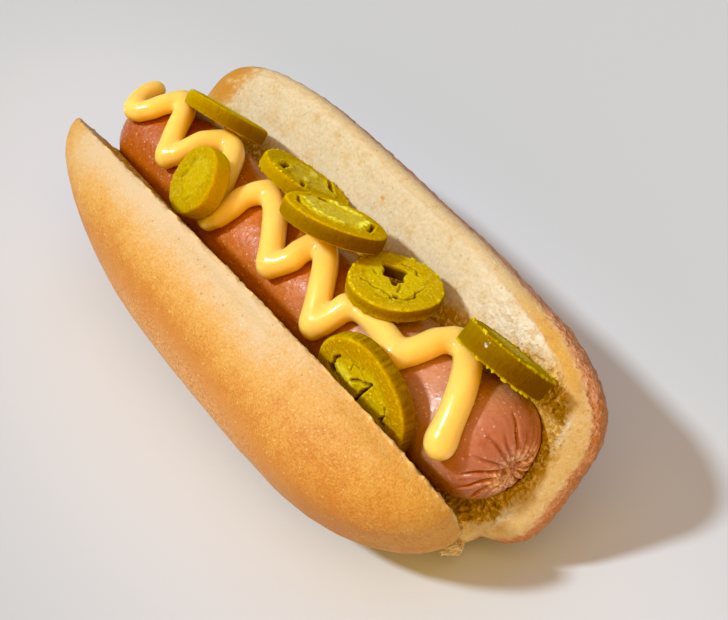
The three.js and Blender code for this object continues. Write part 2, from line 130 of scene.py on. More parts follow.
# What shows on a slice's face, in millimetres along and up it from its middle. "core" is the seed
# bed's middle and radius. A line is its width, how far it stands out or cuts in, and its points. A
# pit is its middle, half width and depth, and a lobe its middle, half length, half width and turn.
# A bead is the middle of a drop that stands on the face, and "bore" the outline of the hole through
# it. Cuts, pits and the hole are painted darker as shade, and lines that stand out, lobes and beads
# lighter as highlights. The other values say how amber the flesh is, how ragged its rim, how much
# painted light glows through the wall at its foot and how strongly it is streaked.
MARKS = {
    2: dict(
        core=(-0.3, 1.2, 5.2),
        amber=0.3,
        lines=((0.9, -0.12, (3.9, 3.2), (4.1, 1.8)), (0.8, -0.18, (3.3, -0.2), (3.7, -1.7))),
    ),
    3: dict(
        core=(0.0, -0.5, 7.6),
        amber=0.6,
        ragged=0.6,
        lines=(
            (0.75, -1.2, (-0.3, 9.2), (-3.4, 5.0)), (0.6, -0.8, (7.2, 7.6), (5.2, 5.8)),
            (0.6, -1.1, (4.6, -5.2), (1.6, -7.2), (-1.4, -9.4)),
            (0.3, -0.3, (-6.5, 1.5), (-4.4, -2.6)),
        ),
        lobes=((-2.4, -4.4, 4.0, 1.7, 40), (2.6, 2.6, 3.2, 1.3, 38)),
    ),
    4: dict(
        core=(-0.6, -0.6, 8.4),
        amber=1.0,
        lines=(
            (1.3, 0.5, (-7.6, 2.8), (-5.0, 5.0), (-1.6, 6.5), (1.6, 6.6), (4.4, 5.0)),
            (0.4, -0.6, (-9.2, 3.4), (-6.2, 7.0), (-1.9, 8.7), (1.9, 8.7), (5.6, 6.4)),
            (1.0, 0.5, (7.5, 2.2), (6.7, -2.0), (5.1, -6.0)),
            (0.45, -1.0, (9.2, 0.2), (8.3, -3.0), (6.5, -5.8)),
            (1.1, 0.4, (-5.2, -6.0), (-2.0, -7.0), (1.4, -7.4)),
            (0.4, -0.5, (-6.2, -7.3), (-2.0, -8.9), (1.6, -9.1)),
        ),
        pits=((-7.2, -4.2, 1.4, 0.6),),
    ),
    5: dict(
        core=(-0.2, 0.2, 6.8),
        amber=0.2,
        ragged=0.7,
        lines=(
            (0.28, -0.45, (-4.7, 6.5), (-3.4, 5.9), (-0.3, 5.7), (0.8, 5.2), (3.4, 5.1),
             (4.3, 5.7)),
            (0.26, -0.6, (5.9, 3.3), (6.3, 1.1), (5.7, -0.9), (5.4, -3.1)),
            (0.28, -0.35, (-5.5, 1.7), (-4.2, 2.1)), (0.25, -0.3, (3.2, 2.6), (1.6, 0.4)),
            (0.28, -0.4, (-3.9, -5.6), (-1.8, -6.6), (-0.3, -6.8), (0.6, -5.9), (1.6, -5.5)),
            (0.35, -0.5, (4.1, 4.2), (5.8, 3.4)),
        ),
        pits=((4.1, 4.1, 0.85, 1.3),),
        beads=(
            (0.6, 5.8), (-2.5, 4.9), (-3.9, 1.9), (3.5, 2.1), (4.8, -3.8), (1.4, -5.7),
            (-0.6, -6.4),
            (4.3, 6.0),
        ),
        glow=1.0,
        bore=(
            (-6.2, -2.5), (-5.9, -1.5), (-5.0, -0.9), (-4.3, -0.9), (-4.3, 0.2), (-3.4, 0.6),
            (-2.9, 1.3), (-1.8, 0.4), (-0.6, 1.1), (0.3, 1.6), (1.5, 1.7), (0.8, 0.3), (1.3, -1.0),
            (0.9, -2.0), (-0.2, -2.5), (-0.5, -3.6), (-0.7, -4.8), (-2.2, -4.9), (-3.6, -4.1),
            (-4.6, -3.5),
        ),
    ),
    6: dict(ragged=1.0, amber=1.0, glow=0.25),
    7: dict(
        core=(0.0, 0.8, 9.2),
        streaks=0.45,
        amber=1.4,
        beads=(
            (-6.8, 5.3), (-3.4, 4.2), (-7.6, 13.0), (-3.2, 5.0), (1.0, 8.8), (8.9, 10.0),
            (4.3, 6.2),
        ),
        lines=(
            (0.32, -1.3, (-3.0, 7.5), (-2.2, 5.7), (-0.9, 3.3), (0.2, 1.2), (1.2, -1.8)),
            (0.22, -0.4, (-2.9, 7.3), (-0.9, 6.6), (1.5, 8.2), (3.4, 7.8), (4.1, 5.7)),
            (0.40, -0.6, (-2.2, 6.6), (-0.2, 5.7), (1.5, 4.7), (2.9, 3.8)),
            (0.36, -1.1, (7.5, 6.8), (9.2, 5.0), (9.2, 2.9), (8.0, 1.5), (6.1, 0.8)),
            (0.30, -0.6, (-7.9, 4.7), (-8.3, 2.9), (-7.6, 0.8)),
            (0.5, 0.3, (2.0, 2.6), (5.6, 2.4), (7.6, 4.2)),
        ),
        pits=((-7.9, 0.1, 1.0, 1.4), (9.6, 1.6, 1.2, 1.2)),
        lobes=((4.6, 3.4, 4.4, 2.4, 20),),
    ),
}

# The radius of a bead, and how far a slice's pattern and its wall's streaks move on for the next.
BEAD = 0.34
NEXT_SLICE, NEXT_STREAKS = 31.7, 9.1

# ---- Colours of small marks ----
SPECK, BLOTCH, CHAR = (0.66, 0.37, 0.24), (0.58, 0.31, 0.16), (0.20, 0.07, 0.015)
FRECKLE, FLOURY = (0.50, 0.24, 0.045), (0.80, 0.62, 0.36)
PIN, FLOUR = (0.34, 0.12, 0.02), (0.88, 0.70, 0.44)
# Below, the middle colour is partly the crumb's own tan and partly painted shade in its holes.
PORE, CRATER, TUFT = (0.80, 0.68, 0.48), (0.56, 0.36, 0.14), (0.88, 0.61, 0.24)
# Below, the first colour is painted shade in the crumb's holes, and the last a painted highlight
# along the dome's cut edge.
HOLE, SPICE, FRINGE = (0.40, 0.22, 0.05), (0.62, 0.22, 0.02), (0.92, 0.60, 0.21)
TIP_SHADE = (0.84, 0.84, 0.84)
ROSY, FLAKE = (0.56, 0.27, 0.150), (0.88, 0.54, 0.37)
# Below, the first colour is painted glints on the frankfurter's skin.
DEW, MOLE = (0.88, 0.56, 0.40), (0.34, 0.07, 0.015)
# Below, the first colour is a painted highlight on a slice's raised crests, lobes and beads.
SEED_BED, GLINT, GRIT = (0.82, 0.72, 0.06), (0.72, 0.60, 0.09), (0.30, 0.18, 0.0)
# Below, the middle colour is a painted glint on a slice's rim and ragged bits, and the last painted
# shade in its cuts, pits and hole.
SCAR, CUT_EDGE, PIT = (0.34, 0.13, 0.01), (0.74, 0.60, 0.02), (0.12, 0.055, 0.0)

# ---- Patterns of the finishes ----
# Mottling: the size of its lumps in metres, its contrast and its seed.
MOTTLES = dict(
    bake_patches=(0.014, 1.8, 1.0), crust_grain=(0.00045, 2.6, 2.0), bake_spots=(0.0032, 1.8, 10.0),
    crust_specks=(0.0011, 4.0, 5.0), crust_leather=(0.0005, 1.4, 8.0),
    lip_freckles=(0.0020, 3.0, 17.0), crumb_toast=(0.0050, 3.2, 6.0),
    crumb_pores=(0.0009, 3.2, 7.0), crumb_craters=(0.0019, 3.4, 23.0),
    sausage_clouds=(0.007, 2.2, 11.0), sausage_grain=(0.0011, 2.4, 12.0),
    sausage_leather=(0.0007, 1.0, 13.0), sausage_waves=(0.0030, 1.0, 14.0),
    mustard_streaks=(0.005, 1.6, 21.0), mustard_waves=(0.0022, 1.0, 22.0),
    pepper_grains=(0.0007, 2.6, 31.0), pepper_clouds=(0.0035, 2.4, 32.0),
    pepper_scars=(0.0022, 4.0, 33.0),
)
# Dots: the gap between them in metres, the share of it that a dot fills, and their seed.
DOTS = dict(
    crust_pins=(0.0036, 0.10, 3.0), crust_flour=(0.0019, 0.14, 4.0),
    crust_burnt=(0.0042, 0.24, 16.0), crumb_holes=(0.0026, 0.16, 9.0),
    crumb_spice=(0.0120, 0.055, 18.0), sausage_dew=(0.0014, 0.22, 19.0),
    sausage_moles=(0.0042, 0.12, 15.0),
)

# ---- Stage ----
TABLE_SIDE = 40.0
# How far the bun's light reaches over the table, in metres along and across.
GLOW_REACH = (0.082, 0.040)
# Each light's way to it, width in degrees and tint, and whether it shines in what is glossy.
LIGHTS = {
    "key": ((-0.321, -0.599, 0.734), 6.0, (0.81, 0.915, 1.0), True),
    "fill": ((0.557, -0.412, 0.721), 80.0, (1.0, 0.63, 0.18), False),
    "top": ((-0.35, 0.15, 0.92), 80.0, (0.40, 0.50, 1.0), False),
}
# How light the background looks, and the red, green and blue that the view takes as black.
BACKGROUND = 0.62
BLACK_LEVEL = (0.0, 0.004, 0.014)
# The camera's turn, rise and roll in degrees, and its distance, target, lens and sensor in mm.
CAMERA = dict(turn=53.54, rise=46.13, roll=2.76, away=290.75, target=(12.15, 10.66, 23.2),
              lens=59.04, sensor=36.0)


# ---- Settings ----
def colour(name, text, value):
    return FloatVectorProperty(
        name=name, description=text, default=value, subtype="COLOR", size=3, min=0.0, max=1.0
    )


def mesh_size(whose, value):
    return FloatProperty(
        name="Mesh size", description=f"Side of {whose} faces", default=value,
        unit="LENGTH", subtype="DISTANCE",
    )


def number(name, text, value):
    return FloatProperty(name=name, description=text, default=value)


class BunSettings(PropertyGroup):
    grain: mesh_size("the bun's", 0.00092)
    crust_pale: colour("Pale crust", "Crust by the cut edge", (0.585, 0.435, 0.245))
    crust_gold: colour("Golden crust", "Crust half way down", (0.60, 0.315, 0.062))
    crust_deep: colour("Deep crust", "Crust that baked the most", (0.49, 0.178, 0.027))
    # Flour on the dome's lower crust, and a painted sheen there.
    crust_dust: colour("Dusted crust", "Crust low down, where flour stays", (0.72, 0.41, 0.17))
    crust_base: colour("Bottom crust", "Crust under the flat half", (0.53, 0.24, 0.115))
    crust_brown: colour("Browned bottom", "The same crust at the near end", (0.46, 0.165, 0.050))
    crumb: colour("Crumb", "Bread inside", (0.52, 0.43, 0.265))
    crumb_open: colour("Open crumb", "Bread inside the near end", (0.72, 0.63, 0.45))
    toasted: colour("Toasted corner", "Crumb that browned at the far end", (0.45, 0.195, 0.016))
    crumb_tan: colour("Toasted crumb", "Patches that caught more heat", (0.48, 0.31, 0.10))
    # Stain, with painted shade and warm bounce light, on the crumb by the frankfurter.
    crumb_wet: colour("Soaked crumb", "Bread stained by the frankfurter", (0.48, 0.235, 0.015))
    lip: colour("Lip", "Pale roll of crust along the flat half's edge", (0.58, 0.44, 0.22))
    lip_gold: colour("Golden lip", "The same roll at the near end", (0.59, 0.315, 0.050))


class SausageSettings(PropertyGroup):
    grain: mesh_size("the frankfurter's", 0.00058)
    crease_depth: number("Crease depth", "How deep the creases at the tied ends are cut", 1.3)
    skin: colour("Skin", "Frankfurter's skin", (0.43, 0.106, 0.014))
    skin_pale: colour("Pale skin", "Mottling of the skin", (0.51, 0.160, 0.032))
    skin_red: colour("Red skin", "Blush towards the tied ends", (0.42, 0.125, 0.070))
    # Paler, pinker skin towards the near end: part its own colour, part painted light.
    skin_pink: colour("Pink skin", "Skin towards the near end", (0.47, 0.185, 0.085))
    skin_brown: colour("Brown skin", "Smoked skin at the far end", (0.38, 0.084, 0.008))
    # Painted shade in the creases and at the knot, and the darker patch among them.
    skin_dark: colour("Dark skin", "Folds and browned places", (0.26, 0.045, 0.008))


class MustardSettings(PropertyGroup):
    grain: mesh_size("the mustard's", 0.00038)
    fullness: number("Fullness", "Share of the solid's volume that the mustard keeps", 1.06)
    body: colour("Mustard", "Mustard all through", (0.95, 0.60, 0.15))
    rich: colour("Rich mustard", "Streaks with more spice", (0.94, 0.53, 0.09))


class SliceSettings(PropertyGroup):
    grain: mesh_size("the slices'", 0.00025)
    flesh: colour("Flesh", "Flesh of the cut face", (0.49, 0.33, 0.012))
    flesh_pale: colour("Pale flesh", "Where more light comes through", (0.58, 0.40, 0.020))
    flesh_amber: colour("Amber flesh", "Flesh near the skin", (0.47, 0.26, 0.0))
    # Pith, and the painted highlights on raised crests, lobes and beads.
    core: colour("Core", "Pith and seed bed", (0.64, 0.49, 0.012))
    skin: colour("Skin", "Pepper's skin", (0.19, 0.085, 0.0))
    # Thinner skin, and painted light coming through the wall.
    skin_pale: colour("Pale skin", "Where the skin is thin", (0.42, 0.265, 0.0))


class StageSettings(PropertyGroup):
    key: number("Key light", "Strength of the key light", 3.16)
    fill: number("Fill light", "Strength of the warm light in front", 2.33)
    top: number("Top light", "Strength of the cool light above", 0.9)
    room: number("Room light", "Strength of the light all round", 0.15)
    floor: colour("Floor", "Table top", (0.465, 0.495, 0.505))
    floor_near: colour("Floor by the bun", "Table top lit by the bun", (0.56, 0.57, 0.585))


# ---- Mesh helpers ----
def only(piece):
    bpy.ops.object.select_all(action="DESELECT")
    piece.select_set(True)
    bpy.context.view_layer.objects.active = piece


def named(piece, name):
    piece.name = name
    piece.data.name = name
    return piece


def copy_of(node, name):
    """A merged copy of a solid, by itself and selected."""
    piece = bpy.data.objects.new(name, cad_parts[node].data.copy())
    bpy.context.scene.collection.objects.link(piece)
    piece.data.materials.clear()
    only(piece)
    bpy.ops.object.mode_set(mode="EDIT")
    bpy.ops.mesh.select_all(action="SELECT")
    bpy.ops.mesh.remove_doubles(threshold=1e-5)
    bpy.ops.object.mode_set(mode="OBJECT")
    return named(piece, name)


def primitive(name, add, **sizes):
    """A new piece from one of Blender's own shapes, at the origin, by itself and selected."""
    bpy.ops.object.select_all(action="DESELECT")
    add(location=(0, 0, 0), **sizes)
    return named(bpy.context.object, name)


def apply(piece, kind, **values):
    """Adds a modifier with these values and applies it."""
    only(piece)
    modifier = piece.modifiers.new(kind.title(), kind)
    for key, value in values.items():
        setattr(modifier, key, value)
    bpy.ops.object.modifier_apply(modifier=modifier.name)


def smooth(piece, rounds, **values):
    apply(piece, "SMOOTH", factor=0.5, iterations=rounds, **values)


def remesh(piece, size):
    """Gives a piece even faces."""
    apply(piece, "REMESH", mode="VOXEL", voxel_size=size, adaptivity=0.0)


def points_of(piece):
    """A piece's points in millimetres."""
    flat = np.empty(len(piece.data.vertices) * 3)
    piece.data.vertices.foreach_get("co", flat)
    return flat.reshape(-1, 3) / MM


def normals_of(piece):
    flat = np.empty(len(piece.data.vertices) * 3)
    piece.data.vertex_normals.foreach_get("vector", flat)
    return flat.reshape(-1, 3)


def bulk_of(piece):
    """A piece's volume and area, in millimetres."""
    mesh = piece.data
    mesh.calc_loop_triangles()
    flat = np.empty(len(mesh.loop_triangles) * 3, np.int32)
    mesh.loop_triangles.foreach_get("vertices", flat)
    a, b, c = points_of(piece)[flat.reshape(-1, 3)].transpose(1, 0, 2)
    area = float(np.linalg.norm(np.cross(b - a, c - a), axis=1).sum() / 2)
    return float((a * np.cross(b, c)).sum() / 6), area


def set_points(piece, points):
    piece.data.vertices.foreach_set("co", (points * MM).ravel())
    piece.data.update()


def keep(piece, **masks):
    """Stores a value for each point under each name, for the material."""
    for name, values in masks.items():
        attribute = piece.data.attributes.new(name, "FLOAT", "POINT")
        attribute.data.foreach_set("value", np.asarray(values, np.float32))


def subdivide_where(piece, chosen):
    """Subdivides the faces whose points are all chosen."""
    only(piece)
    mesh = piece.data
    mesh.polygons.foreach_set("select", np.zeros(len(mesh.polygons), bool))
    mesh.edges.foreach_set("select", np.zeros(len(mesh.edges), bool))
    mesh.vertices.foreach_set("select", np.asarray(chosen, bool))
    bpy.ops.object.mode_set(mode="EDIT")
    bpy.ops.mesh.select_mode(type="VERT")
    bpy.ops.mesh.select_mode(type="FACE")
    bpy.ops.mesh.subdivide(number_cuts=1)
    bpy.ops.object.mode_set(mode="OBJECT")


def ramp(values, low, high):
    """A soft step from 0 at low to 1 at high."""
    share = np.clip((np.asarray(values, float) - low) / (high - low), 0.0, 1.0)
    return share * share * (3.0 - 2.0 * share)


def bell(values, middle, width):
    """1 at the middle, and falling softly to 0 past this width."""
    return np.exp(-(((values - middle) / width) ** 2))


def wander(points, size, seed, octaves=2):
    """Soft noise from about -1 to 1, with lumps of this size in millimetres."""
    shift = Vector((seed * 17.31, seed * -9.7, seed * 5.13))
    scaled = points / size
    return np.array(
        [noise.fractal(Vector(p) + shift, 1.0, 2.0, octaves) for p in scaled.tolist()]
    )


def dressed(piece, material, slot, *nodes):
    """Puts the finish on a piece and hands it to the frame."""
    piece.data.materials.clear()
    piece.data.materials.append(material)
    only(piece)
    bpy.ops.object.shade_smooth()
    if nodes:
        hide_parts(*nodes)
    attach(piece, "root")


# ---- Places on the food ----
def in_half(points, half):
    """Share along, distance up from the hinge and depth under the cut, in a half of the bun."""
    x, y, z = (points - HINGE).T
    u = (x - half["shift"]) / (half["length"] / 2)
    lean = np.radians(half["lean"] + half["twist"] * u)
    up = (np.cos(lean) * y + np.sin(lean) * z) / (1 + half["taper"] * u)
    out = np.sin(lean) * y - np.cos(lean) * z
    return u, up, out * half["side"] / (1 + half["swell"] * u)


def inside_edge(u, up, half):
    """Distance in from the half's outline, less than 0 outside it."""
    across = up / (half["width"] / 2) - 1
    power = np.where(across >= 0, half["plan"], half["heel"])
    au, av = np.abs(u) + 1e-6, np.abs(across) + 1e-6
    reach = (au**power + av**power) ** (1 / power)
    slope = np.hypot(
        au ** (power - 1) / (half["length"] / 2), av ** (power - 1) / (half["width"] / 2)
    )
    return (1 - reach) / (slope * reach ** (1 - power))


def from_axis(points):
    """Distance along from the frankfurter's middle, and across and up from its axis there."""
    x = points[:, 0] - HINGE[0]
    u = x / SAUSAGE["half"]
    y, z = (a + b * u + c * u * u for a, b, c in (SAUSAGE["y"], SAUSAGE["z"]))
    return x, points[:, 1] - (y + HINGE[1]), points[:, 2] - z


def off_sausage(points):
    """Distance out from the frankfurter's skin, and along from its middle."""
    x, y, z = from_axis(points)
    past = np.clip((np.abs(x) - SAUSAGE["half"] + SAUSAGE["cap"]) / SAUSAGE["cap"], 0, 1)
    skin = SAUSAGE["radius"] * (1 - past * past) ** SAUSAGE["blunt"]
    return np.hypot(y, z) - skin, x


# ---- Material helpers ----
class Nodes:
    """Adds nodes to a tree, joined up as they are made."""

    def __init__(self, tree):
        self.tree = tree

    def feed(self, socket, value):
        """Joins an output to a socket, or sets the socket's own value."""
        if isinstance(value, NodeSocket):
            self.tree.links.new(value, socket)
        else:
            socket.default_value = value

    def add(self, kind, inputs=None, **settings):
        made = self.tree.nodes.new(kind)
        for key, value in settings.items():
            setattr(made, key, value)
        for key, value in (inputs or {}).items():
            self.feed(made.inputs[key], value)
        return made

    def maths(self, operation, first, second=0.5, clamp=False):
        inputs = {0: first, 1: second}
        return self.add("ShaderNodeMath", inputs, operation=operation, use_clamp=clamp).outputs[0]

    def plus(self, first, second, clamp=False):
        return self.maths("ADD", first, second, clamp)

    def minus(self, first, second=0.5):
        return self.maths("SUBTRACT", first, second)

    def times(self, first, second):
        return self.maths("MULTIPLY", first, second)

    def step(self, value, low, high, start=0.0, end=1.0):
        """A soft step from start to end, as a value goes from low to high."""
        made = self.add(
            "ShaderNodeMapRange",
            {"Value": value, "From Min": low, "From Max": high, "To Min": start, "To Max": end},
            interpolation_type="SMOOTHSTEP",
        )
        return made.outputs["Result"]

    def fade(self, mask, start, end):
        """A number that goes from start, where a mask is 0, to end, where it is 1."""
        return self.step(mask, 0.0, 1.0, start, end)

    def between(self, share, first, second):
        """Mixes two numbers."""
        made = self.add("ShaderNodeMix", {"Factor": share, "A": first, "B": second})
        return made.outputs["Result"]

    def blend(self, share, first, second, way="MIX"):
        """Mixes two colours."""
        made = self.add("ShaderNodeMix", data_type="RGBA", blend_type=way)
        sockets = {socket.identifier: socket for socket in (*made.inputs, *made.outputs)}
        self.feed(sockets["Factor_Float"], share)
        for key, value in (("A_Color", first), ("B_Color", second)):
            self.feed(sockets[key], value if isinstance(value, NodeSocket) else (*value, 1.0))
        return sockets["Result_Color"]

    def layers(self, under, *marks):
        """Lays tints over a colour in turn. Each is a tint, its mask and maybe its strength."""
        for tint, mask, *strength in marks:
            share = self.times(mask, strength[0]) if strength else mask
            under = self.blend(share, under, tint)
        return under

    def value(self, name):
        """A mask that the piece keeps."""
        made = self.add("ShaderNodeAttribute", attribute_name=name, attribute_type="GEOMETRY")
        return made.outputs["Fac"]

    def place(self):
        return self.add("ShaderNodeTexCoord").outputs["Object"]

    def pattern(self, name):
        """Places a shared group, with the values that the tables give this pattern."""
        group, values = ("Dots", DOTS[name]) if name in DOTS else ("Mottle", MOTTLES[name])
        inputs = dict(enumerate(values))
        made = self.add("ShaderNodeGroup", inputs, node_tree=bpy.data.node_groups[group])
        return made.outputs[0]


class Finish(Nodes):
    """The nodes of one new material."""

    def __init__(self, name):
        if "Mottle" not in bpy.data.node_groups:
            mottle_group()
            dots_group()
        self.material = bpy.data.materials.new(name)
        self.material.use_nodes = True
        super().__init__(self.material.node_tree)
        self.tree.nodes.clear()
        out = self.add("ShaderNodeOutputMaterial")
        self.shader = self.add("ShaderNodeBsdfPrincipled")
        self.feed(out.inputs["Surface"], self.shader.outputs[0])

    def done(self, sockets, height=None, strength=0.8):
        """Fills the shader's sockets, adds a bump of this height and gives the material."""
        for name, value in sockets.items():
            self.feed(self.shader.inputs[name], value)
        if height is not None:
            bump = {"Strength": strength, "Distance": 1.0, "Height": height}
            self.feed(self.shader.inputs["Normal"], self.add("ShaderNodeBump", bump).outputs[0])
        return self.material


def new_group(name, inputs, output):
    """A shader node group with named number inputs, and one mask that it puts out."""
    tree = bpy.data.node_groups.new(name, "ShaderNodeTree")
    number_kind = "NodeSocketFloat"
    for label, value in inputs.items():
        socket = tree.interface.new_socket(name=label, in_out="INPUT", socket_type=number_kind)
        socket.default_value = value
    tree.interface.new_socket(name=output, in_out="OUTPUT", socket_type=number_kind)
    nodes = Nodes(tree)
    return nodes, nodes.add("NodeGroupInput").outputs, nodes.add("NodeGroupOutput").inputs[output]


def mottle_group():
    """Soft patches of a size in metres, sharpened by a contrast."""
    nodes, given, out = new_group("Mottle", {"Size": 0.01, "Contrast": 1.0, "Seed": 0.0}, "Patches")
    scale = nodes.maths("DIVIDE", 1.0, given["Size"])
    made = nodes.add(
        "ShaderNodeTexNoise",
        {"Vector": nodes.place(), "W": given["Seed"], "Scale": scale, "Detail": 3.0,
         "Roughness": 0.55},
        noise_dimensions="4D",
    )
    stretched = nodes.times(nodes.minus(made.outputs["Fac"]), given["Contrast"])
    nodes.feed(out, nodes.plus(stretched, 0.5, True))


def dots_group():
    """Scattered dots, with this distance between them in metres, and this share of it as radius."""
    nodes, given, out = new_group("Dots", {"Gap": 0.002, "Share": 0.2, "Seed": 0.0}, "Dots")
    scale = nodes.maths("DIVIDE", 1.0, given["Gap"])
    shift = nodes.times(given["Seed"], 0.1)
    moved = nodes.add("ShaderNodeVectorMath", {0: nodes.place(), 1: shift}, operation="ADD")
    made = nodes.add(
        "ShaderNodeTexVoronoi",
        {"Vector": moved.outputs[0], "Scale": scale, "Randomness": 1.0}, voronoi_dimensions="3D",
    )
    soft = nodes.maths("DIVIDE", made.outputs["Distance"], given["Share"])
    nodes.feed(out, nodes.step(soft, 0.5, 1.0, 1.0, 0.0))


# ---- Finishes ----
def dome_crust(mix, settings, patches, fine):
    """Crust that goes from pale by the cut to deep brown, as it baked, and paler low down with
    flour and a painted sheen.
    """
    bake = mix.value("bake")
    for mask, share in ((patches, 0.30), (fine, 0.46), (mix.pattern("bake_spots"), 0.24)):
        bake = mix.plus(bake, mix.times(mix.minus(mask), share))
    crust = mix.blend(mix.step(bake, 0.08, 0.70), settings.crust_pale, settings.crust_gold)
    return mix.layers(
        crust,
        (settings.crust_deep, mix.step(bake, 0.58, 1.10)),
        # Paler low on the dome: flour, and a painted sheen.
        (settings.crust_dust, mix.value("dust"), mix.step(fine, 0.1, 0.8)),
    )


def bottom_crust(mix, settings, patches, specks, burnt):
    """Brown crust with pale specks and charred spots."""
    return mix.layers(
        mix.blend(mix.value("brown"), settings.crust_base, settings.crust_brown),
        (SPECK, specks, 0.45),
        (BLOTCH, mix.step(patches, 0.5, 1.0, 0.0, 0.3)),
        (CHAR, burnt, mix.step(patches, 0.7, 0.2, 0.1, 0.7)),
    )


def rolled_lip(mix, settings, near, fine):
    """Pale, floury roll of crust, golden and freckled at the near end."""
    freckles = mix.step(mix.pattern("lip_freckles"), 0.45, 1.0)
    return mix.layers(
        mix.blend(near, settings.lip, settings.lip_gold),
        (FRECKLE, freckles, mix.fade(near, 0.5, 0.8)),
        (FLOURY, fine, mix.fade(near, 0.50, 0.12)),
    )


def bread_inside(mix, settings, pores, holes, opened):
    """Crumb, open at the near end, stained by the frankfurter and given painted shade and warm
    bounce light beside it.
    """
    soak = mix.value("soak")
    return mix.layers(
        mix.blend(opened, settings.crumb, settings.crumb_open),
        (settings.crumb_tan, mix.step(mix.pattern("crumb_toast"), 0.5, 1.1), 0.60),
        (PORE, pores, mix.fade(opened, 0.30, 0.70)),
        # Tan patches for the open crumb's holes: partly its own tan, partly painted shade.
        (CRATER, opened, mix.step(mix.pattern("crumb_craters"), 0.45, 0.1, 0.0, 0.6)),
        # By the frankfurter: stain, with painted shade and warm bounce light.
        (settings.crumb_wet, soak),
        (TUFT, mix.times(soak, mix.step(pores, 0.45, 0.95)), 0.85),
        # Painted shade in the crumb's holes.
        (HOLE, holes, 0.4),
        (SPICE, mix.pattern("crumb_spice"), 0.8),
    )


def bread_material(settings):
    """Crust and crumb of the bun, blended by how each place was baked and cut, with painted shade,
    sheen and highlights laid over.
    """
    mix = Finish("bread")
    crumb, under, opened = mix.value("crumb"), mix.value("under"), mix.value("open")
    patches = mix.pattern("bake_patches")
    fine = mix.pattern("crust_grain")
    specks = mix.pattern("crust_specks")
    pores = mix.pattern("crumb_pores")
    burnt = mix.pattern("crust_burnt")
    holes = mix.pattern("crumb_holes")
    crust = mix.layers(
        dome_crust(mix, settings, patches, fine),
        (bottom_crust(mix, settings, patches, specks, burnt), under),
        (rolled_lip(mix, settings, mix.value("near"), fine), mix.value("lip")),
        (PIN, mix.pattern("crust_pins"), 0.55),
        (FLOUR, mix.pattern("crust_flour"), 0.35),
    )
    bread = mix.layers(
        crust,
        (bread_inside(mix, settings, pores, holes, opened), crumb),
        (settings.toasted, mix.value("toasted")),
        # A painted highlight along the dome's cut edge.
        (FRINGE, mix.value("fringe")),
    )
    bread = mix.blend(mix.value("tip"), bread, TIP_SHADE, "MULTIPLY")

    leather = mix.times(mix.pattern("crust_leather"), 0.00022)
    rough = mix.times(mix.minus(specks, burnt), 0.0005)
    pitted = mix.minus(pores, mix.times(holes, 0.7))
    pitted = mix.times(pitted, mix.fade(opened, 0.00012, 0.00048))
    height = mix.between(crumb, mix.between(under, leather, rough), pitted)
    sockets = {
        "Base Color": bread,
        "Roughness": mix.between(crumb, 0.5, 0.9),
        "Subsurface Weight": 0.1,
        "Subsurface Radius": (1.0, 0.5, 0.2),
        "Subsurface Scale": 0.002,
        "Specular IOR Level": 0.3,
    }
    return mix.done(sockets, height)


def sausage_material(settings):
    """Moist frankfurter skin, with painted shade in its creases and painted glints, and paler
    towards the near end, partly as painted light.
    """
    mix = Finish("frankfurter skin")
    fine = mix.pattern("sausage_grain")
    share = mix.plus(mix.times(mix.pattern("sausage_clouds"), 0.6), mix.times(fine, 0.4))
    skin = mix.layers(
        mix.blend(share, settings.skin, settings.skin_pale),
        # Towards the near end: part the skin's colour, part painted light.
        (mix.blend(share, settings.skin_pink, ROSY), mix.value("pink")),
        (settings.skin_red, mix.value("blush")),
        (settings.skin_brown, mix.value("smoked")),
        # Painted shade in the creases and at the knot, and the darker patch.
        (settings.skin_dark, mix.value("fold")),
        (FLAKE, mix.value("flake")),
        # Painted glints.
        (DEW, mix.pattern("sausage_dew"), 0.45),
        (MOLE, mix.pattern("sausage_moles"), 0.25),
    )
    leather = mix.times(mix.pattern("sausage_leather"), 0.00016)
    height = mix.plus(leather, mix.times(mix.pattern("sausage_waves"), 0.00035))
    sockets = {
        "Base Color": skin,
        "Roughness": mix.step(fine, 0.2, 0.8, 0.26, 0.46),
        "Subsurface Weight": 0.5,
        "Subsurface Radius": (1.0, 0.45, 0.25),
        "Subsurface Scale": 0.004,
        "Coat Weight": 0.12,
        "Coat Roughness": 0.2,
    }
    return mix.done(sockets, height)


def mustard_material(settings):
    """Smooth, glossy mustard."""
    mix = Finish("mustard")
    streaks = mix.times(mix.pattern("mustard_streaks"), 0.5)
    sockets = {
        "Base Color": mix.blend(streaks, settings.body, settings.rich),
        "Roughness": 0.32,
        "Subsurface Weight": 0.8,
        "Subsurface Radius": (1.0, 0.65, 0.12),
        "Subsurface Scale": 0.0045,
        "Specular IOR Level": 0.25,
        "Coat Weight": 0.6,
        "Coat Roughness": 0.09,
    }
    return mix.done(sockets, mix.times(mix.pattern("mustard_waves"), 0.00006), 0.4)


